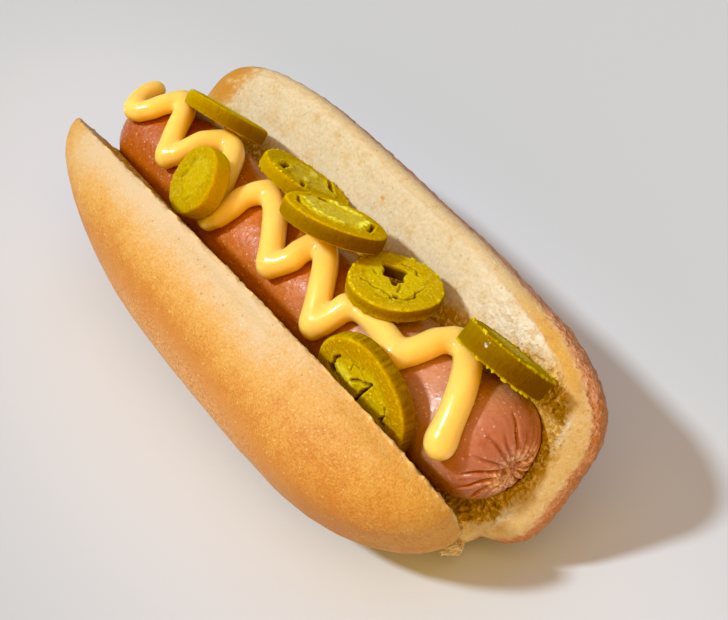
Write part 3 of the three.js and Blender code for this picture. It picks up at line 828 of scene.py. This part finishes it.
def pepper_material(settings):
    """Pickled pepper: dark skin round the wall, wet flesh and a paler core on the cut face, with
    painted shade in cuts, pits and the hole, painted highlights on what stands out and on the rim,
    and painted light through the wall.
    """
    mix = Finish("pickled pepper")
    wall, core = mix.value("wall"), mix.value("core")
    grains = mix.pattern("pepper_grains")
    flesh = mix.layers(
        mix.blend(mix.pattern("pepper_clouds"), settings.flesh, settings.flesh_pale),
        (settings.flesh_amber, mix.value("amber")),
        # Pith, and painted highlights on crests, lobes and beads.
        (settings.core, core),
        # Painted highlight on crests, lobes and beads.
        (SEED_BED, mix.step(core, 0.6, 1.0)),
        (GLINT, mix.step(grains, 0.5, 1.0), 0.40),
        (GRIT, mix.step(grains, 0.4, 0.0), 0.30),
    )
    # Paler where the skin is thinner and where painted light comes through the wall.
    skin = mix.layers(
        mix.blend(mix.value("thin"), settings.skin, settings.skin_pale),
        (SCAR, mix.step(mix.pattern("pepper_scars"), 0.8, 1.3), 0.5),
    )
    # Over the flesh and skin: ragged rim bits with a painted glint, then painted shade in cuts,
    # pits and the hole.
    body = mix.layers(
        flesh, (skin, wall), (CUT_EDGE, mix.value("edge")), (PIT, mix.value("pit"))
    )
    wet = mix.times(core, mix.step(grains, 0.4, 0.8, 0.2, 0.8))
    sockets = {
        "Base Color": mix.blend(1.0, body, mix.value("tone"), "MULTIPLY"),
        "Roughness": mix.between(wall, 0.42, 0.38),
        "Subsurface Weight": 0.5,
        "Subsurface Radius": (1.0, 0.7, 0.03),
        "Subsurface Scale": 0.0035,
        "Specular IOR Level": 0.0,
        "Coat Weight": mix.plus(wet, mix.times(wall, 0.06), True),
        "Coat Roughness": 0.12,
    }
    return mix.done(sockets, mix.times(grains, 0.00020), 0.7)


def floor_material(settings):
    """Pale table top, lighter where the bun throws light on it."""
    mix = Finish("table top")
    place = mix.add("ShaderNodeSeparateXYZ", {0: mix.place()}).outputs
    ways = [mix.maths("DIVIDE", place[i], reach) for i, reach in enumerate(GLOW_REACH)]
    away = mix.maths("SQRT", mix.plus(*(mix.times(way, way) for way in ways)))
    sockets = {
        "Base Color": mix.blend(mix.step(away, 2.6, 1.2), settings.floor, settings.floor_near),
        "Roughness": 0.7,
        "Specular IOR Level": 0.2,
    }
    return mix.done(sockets)


# ---- Pieces ----
class HOTDOG_OT_sausage(Operator):
    """Frankfurter with creased ends, in place of its solid"""

    bl_idname = "hotdog.sausage"
    bl_label = "Frankfurter"

    def execute(self, context):
        settings = context.scene.hotdog_sausage
        piece = copy_of("sausage", "frankfurter")
        remesh(piece, settings.grain)
        smooth(piece, 4)
        self.fill_pleats(piece)
        smooth(piece, 8)
        subdivide_where(piece, np.abs(points_of(piece)[:, 0] - HINGE[0]) > FINE_FROM)
        smooth(piece, 3)
        self.crease(piece, settings.crease_depth)
        dressed(piece, sausage_material(settings), "sausage", "sausage")
        return {"FINISHED"}

    def place(self, points):
        """Distance along, in from the tip and out from the knot's line, and turn round it."""
        x, y, z = from_axis(points)
        past = SAUSAGE["half"] - np.abs(x)
        capped = np.clip(1 - past / SAUSAGE["cap"], 0, 1) ** 2
        y, z = y - SAUSAGE["knot"][0] * capped, z - SAUSAGE["knot"][1] * capped
        return x, past, np.hypot(y, z), np.arctan2(z, y)

    def fill_pleats(self, piece):
        """Fills the solid's even pleats, before its own creases are cut."""
        points = points_of(piece)
        _, past, out, turn = self.place(points)
        share = np.abs((turn / (2 * np.pi) * PLEATS + 0.5) % 1 - 0.5)
        groove = np.interp(share, (0.0, 0.25, 0.5), (1.0, 0.125, 0.0))
        fill = PLEAT_DEEP * np.clip(1 - past / PLEAT_LONG, 0, 1) ** 1.5 * groove
        fill = fill * ramp(out, 1.5, 4.0)
        points[:, 1] += fill * np.cos(turn)
        points[:, 2] += fill * np.sin(turn)
        set_points(piece, points)

    def folds(self, x, along, out, turn, deep):
        """What the creases add to the skin's height, their grooves and the ridges beside them."""
        shift, groove, ridge = np.zeros((3, len(x)))
        for side, spin in TIED_ENDS:
            here = np.sign(x) == side
            for start, end, length, depth in CREASES:
                reach = np.clip((along - 1.5) / (length - 1.5), 0, 1)
                way = np.radians(start + spin + (end - start) * reach)
                way = way + 0.012 * np.sin(along * 1.3 + start)
                apart = (turn - way + np.pi) % (2 * np.pi) - np.pi
                off = apart * np.maximum(out, 0.8)
                fade = (1 - ramp(along, 0.55 * length, length)) * ramp(along, 0.6, 2.4) * here
                full = 0.55 if FULLEST[0] <= start <= FULLEST[1] else 0.25
                cut = bell(off, 0, CREASE_WIDE) + 0.34 * bell(off, 0, DIP_WIDE)
                swell = bell(off, SWELL_OFF, 0.5) + 0.5 * bell(off, -SWELL_OFF, 0.5)
                shift += fade * depth * deep * (full * swell - cut)
                groove = np.maximum(groove, fade * depth * bell(off, 0, CREASE_WIDE))
                ridge = np.maximum(ridge, fade * depth * bell(np.abs(off), 0.75, 0.3))
        return shift, groove, ridge

    def crease(self, piece, deep):
        """Creases and wrinkles the tied ends, and marks the skin for its colours."""
        points = points_of(piece)
        normals = normals_of(piece)
        x, past, out, turn = self.place(points)
        along = 0.75 * (out + np.maximum(past, 0))
        shift, groove, ridge = self.folds(x, along, out, turn, deep)
        fan = 1 - ramp(along, 2.0, 6.5)
        wrinkle = np.sin(turn * 31 + 2.2 * wander(points, 4.0, 5)) * fan * ramp(along, 0.8, 2.0)
        lumps = 0.10 * wander(points, 8.0, 6) + 0.035 * wander(points, 2.2, 7)
        shift += lumps + 0.16 * wrinkle - 0.05
        set_points(piece, points + normals * np.clip(shift, *SKIN_MOVES)[:, None])

        # A darker patch among the near end's creases.
        middle, size = BRUISE
        sore = bell(np.linalg.norm(points - middle, axis=1), 0, size)
        sore = 0.55 * sore * ramp(wander(points, 1.5, 10), -0.6, 0.4)
        # Painted shade in the creases' grooves and the knot's middle, with the darker patch.
        fold = groove * 0.95 + 0.15 * (1 - ramp(along, 0.5, 1.8)) + sore
        dry = ramp(wander(points, 0.8, 8) + 0.5 * wrinkle, -0.3, 0.35)
        ring = bell(along, 3.2, 2.2) + 0.7 * ridge * (1 - ramp(along, 5.0, 10.0))
        blush = ramp(np.abs(x), 61, 71) * 0.8 + 0.25 * ramp(wander(points, 9.0, 9), 0.1, 0.7)
        keep(
            piece,
            fold=np.clip(fold, 0, 1),
            flake=np.clip(dry * ring, 0, 1) * (1 - groove) * 0.95,
            smoked=(1 - ramp(x, -62, -20)) * 0.8,
            # Towards the near end: part the skin's colour, part painted light.
            pink=ramp(x, 5, 45),
            blush=np.clip(blush, 0, 1),
        )


class HOTDOG_OT_mustard(Operator):
    """Mustard squeezed to and fro along the frankfurter, in place of its solid"""

    bl_idname = "hotdog.mustard"
    bl_label = "Mustard"

    def execute(self, context):
        settings = context.scene.hotdog_mustard
        piece = copy_of("mustard", "mustard_line")
        remesh(piece, settings.grain)
        full, _ = bulk_of(piece)
        for rounds in (30, 12, 6):
            smooth(piece, rounds)
            volume, area = bulk_of(piece)
            missing = full * settings.fullness - volume
            set_points(piece, points_of(piece) + missing / area * normals_of(piece))
        dressed(piece, mustard_material(settings), "mustard", "mustard")
        return {"FINISHED"}


class HOTDOG_OT_slices(Operator):
    """Seven slices of pickled pepper, in place of their solids"""

    bl_idname = "hotdog.slices"
    bl_label = "Pepper slices"

    def execute(self, context):
        settings = context.scene.hotdog_slices
        material = pepper_material(settings)
        for count, (node, facts) in enumerate(SLICES.items(), 1):
            piece = self.disc(f"pepper_slice_{count}", facts)
            marks = MARKS.get(count, {})
            if "bore" in marks:
                self.bore(piece, marks["bore"], facts)
            remesh(piece, settings.grain)
            smooth(piece, 3)
            self.round_off(piece, facts)
            self.carve(piece, facts, count, marks)
            dressed(piece, material, "chilli", node)
        return {"FINISHED"}

    def disc(self, name, facts):
        """A plain disc, flat at the origin until its face is carved."""
        add = bpy.ops.mesh.primitive_cylinder_add
        return primitive(name, add, vertices=96, radius=facts.radius * MM, depth=facts.thick * MM)

    def bore(self, piece, outline, facts):
        """Cuts the seed chamber through a disc."""
        add = bpy.ops.mesh.primitive_circle_add
        cutter = primitive("cutter", add, vertices=len(outline), radius=MM, fill_type="NGON")
        set_points(cutter, np.array([(a, b, -facts.thick) for a, b in outline]))
        bpy.ops.object.mode_set(mode="EDIT")
        bpy.ops.mesh.select_all(action="SELECT")
        through = (0, 0, 2 * facts.thick * MM)
        bpy.ops.mesh.extrude_region_move(TRANSFORM_OT_translate={"value": through})
        bpy.ops.mesh.select_all(action="SELECT")
        bpy.ops.mesh.normals_make_consistent(inside=False)
        bpy.ops.object.mode_set(mode="OBJECT")
        apply(piece, "BOOLEAN", operation="DIFFERENCE", object=cutter)
        bpy.data.objects.remove(cutter)

    def axes(self, facts):
        """The slice's middle, and the ways along its face, up its face and out of it."""
        face = np.array(Vector(facts.facing).normalized())
        level = np.cross(face, (0, 0, 1.0))
        level /= np.linalg.norm(level)
        return np.array(facts.middle) + HINGE * (1, 1, 0), level, -np.cross(face, level), face

    def outline(self, turn, facts):
        """The wandering radius of a slice's wall."""
        waves = ((2, 1), (3, 0.6), (5, 0.4))
        wave = sum(size * np.sin(n * turn + facts.middle[0]) for n, size in waves)
        return facts.radius * (1 + 0.022 * wave)

    def round_off(self, piece, facts):
        """Gives the wall its wandering outline and soft edges."""
        a, b, h = points_of(piece).T
        turn = np.arctan2(b, a)
        across, rise = np.hypot(a, b) / facts.radius, np.abs(h) / (facts.thick / 2)
        size = (across**9 + rise**9) ** (1 / 9)
        scale = 1 + ramp(size, 0.86, 0.95) * (0.995 / size - 1)
        wide = 1 + (self.outline(turn, facts) / facts.radius - 1) * ramp(across, 0.4, 0.9)
        set_points(piece, np.stack((a * scale * wide, b * scale * wide, h * scale), axis=1))

    def survey(self, piece, facts, count, marks):
        """Where each point lies on a slice, and the plain face's relief and masks."""
        at = SimpleNamespace(points=points_of(piece), normals=normals_of(piece))
        at.half = facts.thick / 2
        at.a, at.b, at.h = at.points.T
        at.spots = at.points + count * NEXT_SLICE
        turn = np.arctan2(at.b, at.a)
        at.share = np.hypot(at.a, at.b) / self.outline(turn, facts)
        at.facing = at.normals[:, 2]
        at.wall = ramp(at.share, 0.94, 0.985) * (1 - ramp(np.abs(at.facing), 0.55, 0.85))
        at.front = ramp(at.facing, 0.3, 0.8) * ramp(at.h, at.half * 0.3, at.half * 0.75)
        at.cut = np.maximum(at.front, ramp(-at.facing, 0.3, 0.8))
        core_a, core_b, core_wide = marks.get("core", (0.0, 0.0, facts.radius * 0.55))
        lobes = 1 + 0.10 * np.sin(3 * turn + count) + 0.05 * np.sin(7 * turn + 2 * count)
        core_out = np.hypot(at.a - core_a, at.b - core_b) / (core_wide * lobes)
        at.broken = np.clip(0.1 + 1.2 * wander(at.spots, 2.2, 50), 0, 1)
        seam = bell(core_out, 1, 0.06) * at.cut
        at.inside = (1 - ramp(core_out, 0.85, 1.05)) * at.cut
        at.grit = wander(at.spots, 0.9, 40, 3)
        at.relief = -0.20 * seam * at.broken + (0.05 + 0.07 * at.inside) * at.grit
        at.relief = at.relief + 0.05 * wander(at.spots, 4.0, 60)
        # Painted shade along the seed bed's seam.
        at.dark = 0.35 * seam * at.broken
        # Painted highlights on what stands out on the face.
        at.bright = np.zeros(len(at.points))
        return at

    def mark(self, at, marks):
        """Cuts and raises what shows on the face, and marks painted shade in what is cut and
        painted highlights on what stands out.
        """
        a = at.a + 0.22 * wander(at.spots, 1.1, 80) + 0.3 * wander(at.spots, 3.0, 81)
        b = at.b + 0.22 * wander(at.spots, 1.1, 90) + 0.3 * wander(at.spots, 3.0, 91)
        for width, rise, *path in marks.get("lines", ()):
            off = self.off_path(a, b, path) / width
            if rise < 0:
                cut = np.exp(-(off**4)) * at.front
                at.relief += rise * cut + 0.18 * -rise * bell(off, 1.9, 1) * at.front
                at.dark = np.maximum(at.dark, min(1.0, 0.2 - 0.9 * rise) * cut)
            else:
                crest = bell(off, 0, 1) * at.front
                at.relief += rise * crest * (0.7 + 0.6 * at.grit)
                at.bright = np.maximum(at.bright, crest * (0.35 + 0.65 * ramp(at.grit, -0.25, 0.2)))
        for pit_a, pit_b, wide, deep in marks.get("pits", ()):
            hole = (1 - ramp(np.hypot(a - pit_a, b - pit_b) / wide, 0.6, 1.2)) * at.front
            at.relief -= deep * hole
            at.dark = np.maximum(at.dark, hole)
        for lobe_a, lobe_b, long, wide, spin in marks.get("lobes", ()):
            c, s = math.cos(math.radians(spin)), math.sin(math.radians(spin))
            p = (a - lobe_a) * c + (b - lobe_b) * s
            q = (b - lobe_b) * c - (a - lobe_a) * s
            mound = (1 - ramp(np.hypot(p / long, q / wide), 0.3, 1.0)) * at.front
            at.relief += 0.25 * mound
            at.bright = np.maximum(at.bright, 0.4 * mound)
        for bead_a, bead_b in marks.get("beads", ()):
            bead = np.hypot(at.a - bead_a, at.b - bead_b) / BEAD
            bead = (1 - ramp(bead, 0.3, 1.0)) * at.front
            at.relief += 0.3 * bead
            at.bright = np.maximum(at.bright, bead)

    def carve(self, piece, facts, count, marks):
        """Carves a slice, sets it in its place and marks it for its colours."""
        at = self.survey(piece, facts, count, marks)
        self.mark(at, marks)
        half, h, share = at.half, at.h, at.share
        rim = bell(share, 0.955, 0.014) * at.cut
        corner = ramp(share, 0.90, 0.96) * ramp(np.abs(h), half * 0.72, half * 0.9)
        bits = ramp(wander(at.spots, 1.1, 70), 0.05, 0.45) * corner * marks.get("ragged", 0.15)
        bored = (1 - ramp(share, 0.80, 0.88)) * (1 - ramp(np.abs(at.facing), 0.5, 0.9))
        # Painted shade, deeper down the hole.
        dark = np.maximum(at.dark, bored * ramp(half - h, 0.2, 1.6))
        lift = at.relief * (1 - bored) - 0.06 + 0.05 * rim + 0.6 * bits
        points = at.points + at.normals * lift[:, None]
        middle, level, slope, face = self.axes(facts)
        set_points(piece, middle + points @ np.array((level, slope, face)))

        face_tone, thinness, wall_tone = TONES[count - 1]
        streak = np.stack((at.a, at.b, 0.12 * h), axis=1) + count * NEXT_STREAKS
        streak = wander(streak, 0.8, 75, 3)
        # Paler towards the shown face, towards the lit side and at the foot, the last two as
        # painted light through the wall. The streaks are the skin's own.
        thin = 0.4 * ramp(h + 0.3 * streak, -half, half) + marks.get("streaks", 0.1) * streak
        thin = thinness + thin - 0.3 * at.a * level[0] / facts.radius
        thin += marks.get("glow", 0.2) * (1 - ramp(h + 0.5 * streak, -0.9 * half, 0.1 * half))
        ring = (0.3 + 0.7 * ramp(share + 0.1 * at.broken, 0.60, 0.9)) * (1 - at.wall)
        skin = np.maximum(at.wall, ramp(share, 0.97, 1.0))
        keep(
            piece,
            wall=at.wall,
            tone=face_tone + (wall_tone - face_tone) * skin,
            # Thinner skin, and painted light through the wall.
            thin=np.clip(thin, 0, 1) * at.wall,
            amber=np.clip(marks.get("amber", 0.4) * ring, 0, 1),
            # Pith, with painted highlights on crests, lobes and beads.
            core=np.clip(0.5 * at.inside + at.bright, 0, 1) * (1 - dark),
            # Ragged bits on the rim, and a painted glint along it.
            edge=np.clip(0.25 * rim * (0.4 + at.broken) + 1.5 * bits, 0, 1),
            # Painted shade in the cuts, pits, seam and hole.
            pit=np.clip(dark, 0, 1),
        )

    def off_path(self, a, b, path):
        """Distance from a broken line on the face."""
        best = np.full(len(a), 99.0)
        for (a0, b0), (a1, b1) in zip(path, path[1:]):
            da, db = a1 - a0, b1 - b0
            t = np.clip(((a - a0) * da + (b - b0) * db) / (da * da + db * db), 0, 1)
            best = np.minimum(best, np.hypot(a - a0 - t * da, b - b0 - t * db))
        return best


class HOTDOG_OT_bun(Operator):
    """Bun with a baked crust and open crumb, in place of the bun's solid"""

    bl_idname = "hotdog.bun"
    bl_label = "Bun"

    def execute(self, context):
        settings = context.scene.hotdog_bun
        piece = copy_of("bun", "bun_bread")
        remesh(piece, settings.grain)
        smooth(piece, 3)
        self.roll_lip(piece)
        self.refine_lips(piece)
        self.press_crumb(piece)
        at = self.survey(piece)
        self.rise(piece, at)
        self.brown(piece, at)
        material = bread_material(settings)
        dressed(piece, material, "bun", "bun")
        self.scrap(material)
        return {"FINISHED"}

    def scrap(self, material):
        """A torn scrap of crumb that hangs under the near end."""
        add = bpy.ops.mesh.primitive_ico_sphere_add
        piece = primitive("crumb_scrap", add, subdivisions=6, radius=MM)
        points = points_of(piece)
        torn = 1 + 0.45 * wander(points, 0.9, 24, 3) + 0.15 * wander(points, 0.25, 25)
        middle, size = SCRAP
        set_points(piece, points * torn[:, None] * size + middle)
        all_over = np.ones(len(points))
        keep(piece, crumb=all_over, open=all_over, soak=0.1 * all_over)
        dressed(piece, material, "bun")

    def roll_lip(self, piece):
        """Rounds the flat half's edge, wider at its near end."""
        u, up, depth = in_half(points_of(piece), BASE)
        wide = np.interp(u, *LIP_WIDE)
        edge = np.hypot(np.minimum(inside_edge(u, up, BASE), 99), np.maximum(depth, 0))
        weight = (1 - ramp(edge / wide, 0.6, 1.3)) * ramp(up, 16, 26) * ramp(depth, -1.5, -0.5)
        group = piece.vertex_groups.new(name="roll")
        for share in (0.25, 0.5, 0.75, 1.0):
            chosen = np.nonzero((weight > share - 0.25) & (weight <= share))[0]
            group.add(chosen.tolist(), share, "REPLACE")
        smooth(piece, 24, vertex_group="roll")
        piece.vertex_groups.clear()

    def refine_lips(self, piece):
        """Gives smaller faces to the lips, the bed's ends and the near end's crust."""
        points = points_of(piece)
        near = np.zeros(len(points), bool)
        for half in (DOME, BASE):
            u, up, depth = in_half(points, half)
            near |= (np.abs(inside_edge(u, up, half)) < 2.6) & (np.abs(depth) < 2.6)
        off, x = off_sausage(points)
        near |= (off < 2.2) & (np.abs(x) > 50)
        near |= (off < 14.0) & (x > 40) & (depth < 1.5) & (up > 5)
        near |= (up > 2) & (u > 0.62) & (depth > 2.0) & (depth < 11.0)
        subdivide_where(piece, near)

    def press_crumb(self, piece):
        """Brings the crumb up against the frankfurter."""
        sausage = bpy.data.objects["frankfurter"]
        tree = BVHTree.FromObject(sausage, bpy.context.evaluated_depsgraph_get())
        points = points_of(piece)
        off, x = off_sausage(points)
        for i in np.nonzero((off < 3.0) & (np.abs(x) < SAUSAGE["half"] + 3.0))[0]:
            spot = Vector(points[i]) * MM
            near, normal, _, gap = tree.find_nearest(spot, 0.003)
            if near is None or (spot - near).dot(normal) <= 0:
                continue
            pull = max(gap / MM - 0.12, 0.0) * (1.0 - float(ramp(gap / MM, 0.9, 2.2)))
            points[i] -= np.array(normal) * pull
        set_points(piece, points)

    def survey(self, piece):
        """Where each point lies: in both halves, under the cut, and off the frankfurter."""
        at = SimpleNamespace(points=points_of(piece), normals=normals_of(piece))
        at.du, at.dup, at.d_dome = in_half(at.points, DOME)
        at.bu, at.bup, at.d_base = in_half(at.points, BASE)
        at.depth = np.maximum(at.d_dome, at.d_base)
        at.dome = at.d_dome > at.d_base
        at.off, at.x = off_sausage(at.points)
        at.edge = inside_edge(at.du, at.dup, DOME)
        at.ragged = wander(at.points, 1.5, 1)
        start = np.where(at.dome, 0.0, 0.35)
        cut = 1 - ramp(at.depth + 0.3 * at.ragged - start, 0.0, 0.55)
        at.over = (1 - ramp(at.edge + 0.5 * at.ragged, 0.5, 1.4)) * ramp(at.dup, 22, 34)
        at.cut = cut * (1 - at.over * at.dome)
        at.bed = 1 - ramp(at.off, 1.0, 2.0)
        at.crumb = np.maximum(at.cut, at.bed)
        return at

    def rise(self, piece, at):
        """Swells the crust, opens the crumb, roughens the underside, draws the dome's edge up."""
        points, normals = at.points, at.normals
        swells = 0.30 * wander(points, 19.0, 2) + 0.07 * wander(points, 5.0, 3)
        end = ramp(at.bu, 0.66, 0.9)
        pits = (0.20 + 0.15 * end) * wander(points, 3.4, 4, 3)
        tufts = 0.45 - np.abs(wander(points, 1.5, 11, 3)) * 1.5
        loose = tufts * (0.05 + 0.85 * end * (1 - ramp(at.off, 7.0, 13.0)))
        lift = (swells - 0.2) * (1 - at.crumb) + at.crumb * (pits + loose) * ramp(at.off, 0.2, 1.2)
        coarse = ramp(at.d_base, 4.2, 5.6) * (1 - at.dome) * ramp(points[:, 2], 2.0, 6.0)
        lift += coarse * (0.30 * wander(points, 1.7, 12, 3) - 0.1)
        lip = bell(at.depth, 0.2, 0.9) * (1 - at.bed) * np.where(at.dome, 1.0, 0.35)
        lift += lip * (0.26 * at.ragged + 0.16 * wander(points, 0.9, 14) * at.dome)
        above = ramp(points[:, 2], 0.2, 1.5)
        points = points + normals * (lift * above)[:, None]
        dish = np.maximum(at.dup - 20, 0) / 20 * ramp(at.edge, 0.8, 3.0)
        points -= normals * (0.4 * dish * at.cut * (1 - at.bed) * at.dome * above)[:, None]
        grow = np.where(at.dome, np.interp(at.x, *DOME_GROWS), np.interp(at.x, *BASE_GROWS))
        grow = grow * ramp(at.depth, 1.0, 6.0) * ramp(points[:, 2], 5.0, 16.0)
        points += normals * grow[:, None]
        lean = np.radians(DOME["lean"] + DOME["twist"] * at.du)
        draw = np.interp(at.du, *DOME_DRAWN) * ramp(at.dup, 25, 40)
        draw = draw * (1 - ramp(at.d_dome, 1.5, 5.0)) * at.dome
        points[:, 1] -= draw * np.sin(lean)
        points[:, 2] += draw * np.cos(lean)
        set_points(piece, points)
        at.points = points

    def brown(self, piece, at):
        """Marks where the bread is crumb, how far it baked, what stains it, and where shade, sheen
        and highlights are painted.
        """
        depth, ragged, bu, flat = at.depth, at.ragged, at.bu, 1 - at.dome
        baked = np.interp(at.du, *ENDS_AHEAD) + np.interp(at.du, *BROWNING) * depth
        bake = np.where(at.dome, np.maximum(depth, baked) / 20.0, ramp(depth, 0.0, 22.0))
        bound = (depth + 0.6 * ragged - np.interp(bu, *BAND_WIDE)) / np.interp(bu, *BAND_SOFT)
        rim = np.where(at.dome, 0.0, 1 - ramp(bound, -1.0, 1.0))
        under = np.where(at.dome, 0.0, ramp(bound, -0.8, 1.2))
        heel = ramp(np.minimum(at.d_dome, at.d_base), -1.0, 3.0)
        reach = np.interp(bu, *STAIN_WIDE)
        # Crumb by the frankfurter: stained, with painted shade and warm bounce light.
        soak = 1 - ramp(at.off + 1.5 * ragged, 0.45 * reach, reach)
        corner = (1 - ramp(bu + 0.03 * ragged, -0.97, -0.83)) * ramp(at.bup, 22, 34) * flat
        toasted = corner * ramp(wander(at.points, 4.0, 13) + 1.2 * corner, 0.3, 0.9) * 0.9
        gold = ramp(at.bup + 12 * (1.02 - bu), 16, 28)
        gold = ramp(bu, 0.42, 0.80) * np.maximum(gold, 0.75 * ramp(bu, 0.96, 1.01))
        gold = gold * (1 - 0.4 * ramp(bu, 0.90, 1.0))
        keep(
            piece,
            crumb=at.crumb,
            bake=np.clip(bake, 0, 1.4) + 0.5 * corner,
            # A painted highlight along the very edge of the dome's cut.
            fringe=at.over * at.dome * (1 - ramp(depth, 0.1, 1.0)) * 0.85,
            # Paler crust low on the dome: flour, and a painted sheen.
            dust=np.where(at.dome, ramp(depth, 18, 27), 0.0) * 0.85,
            toasted=toasted * (1 - 0.7 * under * (1 - heel)),
            lip=rim * (1 - heel),
            near=np.maximum(gold, corner * 0.8),
            under=under * (1 - heel),
            brown=ramp(bu, 0.5, 1.02),
            tip=ramp(bu, 0.84, 0.95) * ramp(at.bup, 6, 12) * (1 - under) * flat,
            soak=np.maximum(soak, corner * 0.8) * 0.92,
            open=ramp(bu, 0.35, 0.78),
        )


class HOTDOG_OT_stage(Operator):
    """Plain pale table top, key light, room light and camera"""

    bl_idname = "hotdog.stage"
    bl_label = "Stage"

    def execute(self, context):
        scene = context.scene
        settings = scene.hotdog_stage
        self.floor(settings)
        for name, facts in LIGHTS.items():
            self.sun(scene, f"{name}_light", getattr(settings, name), *facts)
        self.room(scene, settings.room)
        self.camera(scene)
        view = scene.view_settings
        view.view_transform = "Standard"
        view.use_curve_mapping = True
        view.curve_mapping.black_level = BLACK_LEVEL
        view.curve_mapping.update()
        return {"FINISHED"}

    def floor(self, settings):
        table = primitive("table_top", bpy.ops.mesh.primitive_plane_add, size=TABLE_SIDE)
        table.data.materials.append(floor_material(settings))

    def sun(self, scene, name, strength, towards, wide, tint, glossy):
        """A light that shines from one way, softer the wider it is."""
        data = bpy.data.lights.new(name, "SUN")
        data.energy = strength
        data.angle = math.radians(wide)
        data.color = tint
        lamp = bpy.data.objects.new(name, data)
        lamp.rotation_euler = Vector(towards).to_track_quat("Z", "Y").to_euler()
        lamp.visible_glossy = glossy
        scene.collection.objects.link(lamp)

    def room(self, scene, strength):
        """Dim light all round, with a pale background."""
        world = bpy.data.worlds.new("room")
        world.use_nodes = True
        nodes = Nodes(world.node_tree)
        back = world.node_tree.nodes["Background"]
        seen = nodes.add("ShaderNodeLightPath").outputs["Is Camera Ray"]
        nodes.feed(back.inputs["Color"], (1.0, 1.0, 1.0, 1.0))
        nodes.feed(back.inputs["Strength"], nodes.fade(seen, strength, BACKGROUND))
        scene.world = world
        world.cycles_visibility.glossy = False

    def camera(self, scene):
        turn, rise, roll = (math.radians(CAMERA[name]) for name in ("turn", "rise", "roll"))
        across = math.cos(rise)
        back = Vector((math.sin(turn) * across, -math.cos(turn) * across, math.sin(rise)))
        right = Vector((math.cos(turn), math.sin(turn), 0))
        over = back.cross(right)
        level = right * math.cos(roll) + over * math.sin(roll)
        over = over * math.cos(roll) - right * math.sin(roll)
        data = bpy.data.cameras.new("camera")
        data.sensor_fit = "HORIZONTAL"
        data.sensor_width = CAMERA["sensor"]
        data.lens = CAMERA["lens"]
        data.clip_start = 0.01
        data.clip_end = 50.0
        camera = bpy.data.objects.new("camera", data)
        place = Matrix((level, over, back)).transposed().to_4x4()
        place.translation = (Vector(CAMERA["target"]) + back * CAMERA["away"]) * MM
        camera.matrix_world = place
        scene.collection.objects.link(camera)
        scene.camera = camera


class HOTDOG_PT_panel(Panel):
    """Lists the hot dog's pieces and their settings"""

    bl_label = "Hot dog"
    bl_idname = "HOTDOG_PT_panel"
    bl_space_type = "VIEW_3D"
    bl_region_type = "UI"
    bl_category = "Hot dog"

    def draw(self, context):
        for operator, group in STEPS:
            box = self.layout.box()
            box.operator(operator.bl_idname)
            settings = getattr(context.scene, group)
            for name in settings.__annotations__:
                box.prop(settings, name)


STEPS = (
    (HOTDOG_OT_sausage, "hotdog_sausage"),
    (HOTDOG_OT_mustard, "hotdog_mustard"),
    (HOTDOG_OT_slices, "hotdog_slices"),
    (HOTDOG_OT_bun, "hotdog_bun"),
    (HOTDOG_OT_stage, "hotdog_stage"),
)
GROUPS = {
    "hotdog_bun": BunSettings,
    "hotdog_sausage": SausageSettings,
    "hotdog_mustard": MustardSettings,
    "hotdog_slices": SliceSettings,
    "hotdog_stage": StageSettings,
}
CLASSES = (*GROUPS.values(), *(operator for operator, _ in STEPS), HOTDOG_PT_panel)


def register():
    for each in CLASSES:
        bpy.utils.register_class(each)
    for name, group in GROUPS.items():
        setattr(bpy.types.Scene, name, PointerProperty(type=group))


def unregister():
    for name in GROUPS:
        delattr(bpy.types.Scene, name)
    for each in reversed(CLASSES):
        bpy.utils.unregister_class(each)


def main():
    register()
    bpy.ops.hotdog.sausage()
    bpy.ops.hotdog.mustard()
    bpy.ops.hotdog.slices()
    bpy.ops.hotdog.bun()
    bpy.ops.hotdog.stage()


if __name__ == "__main__":
    main()
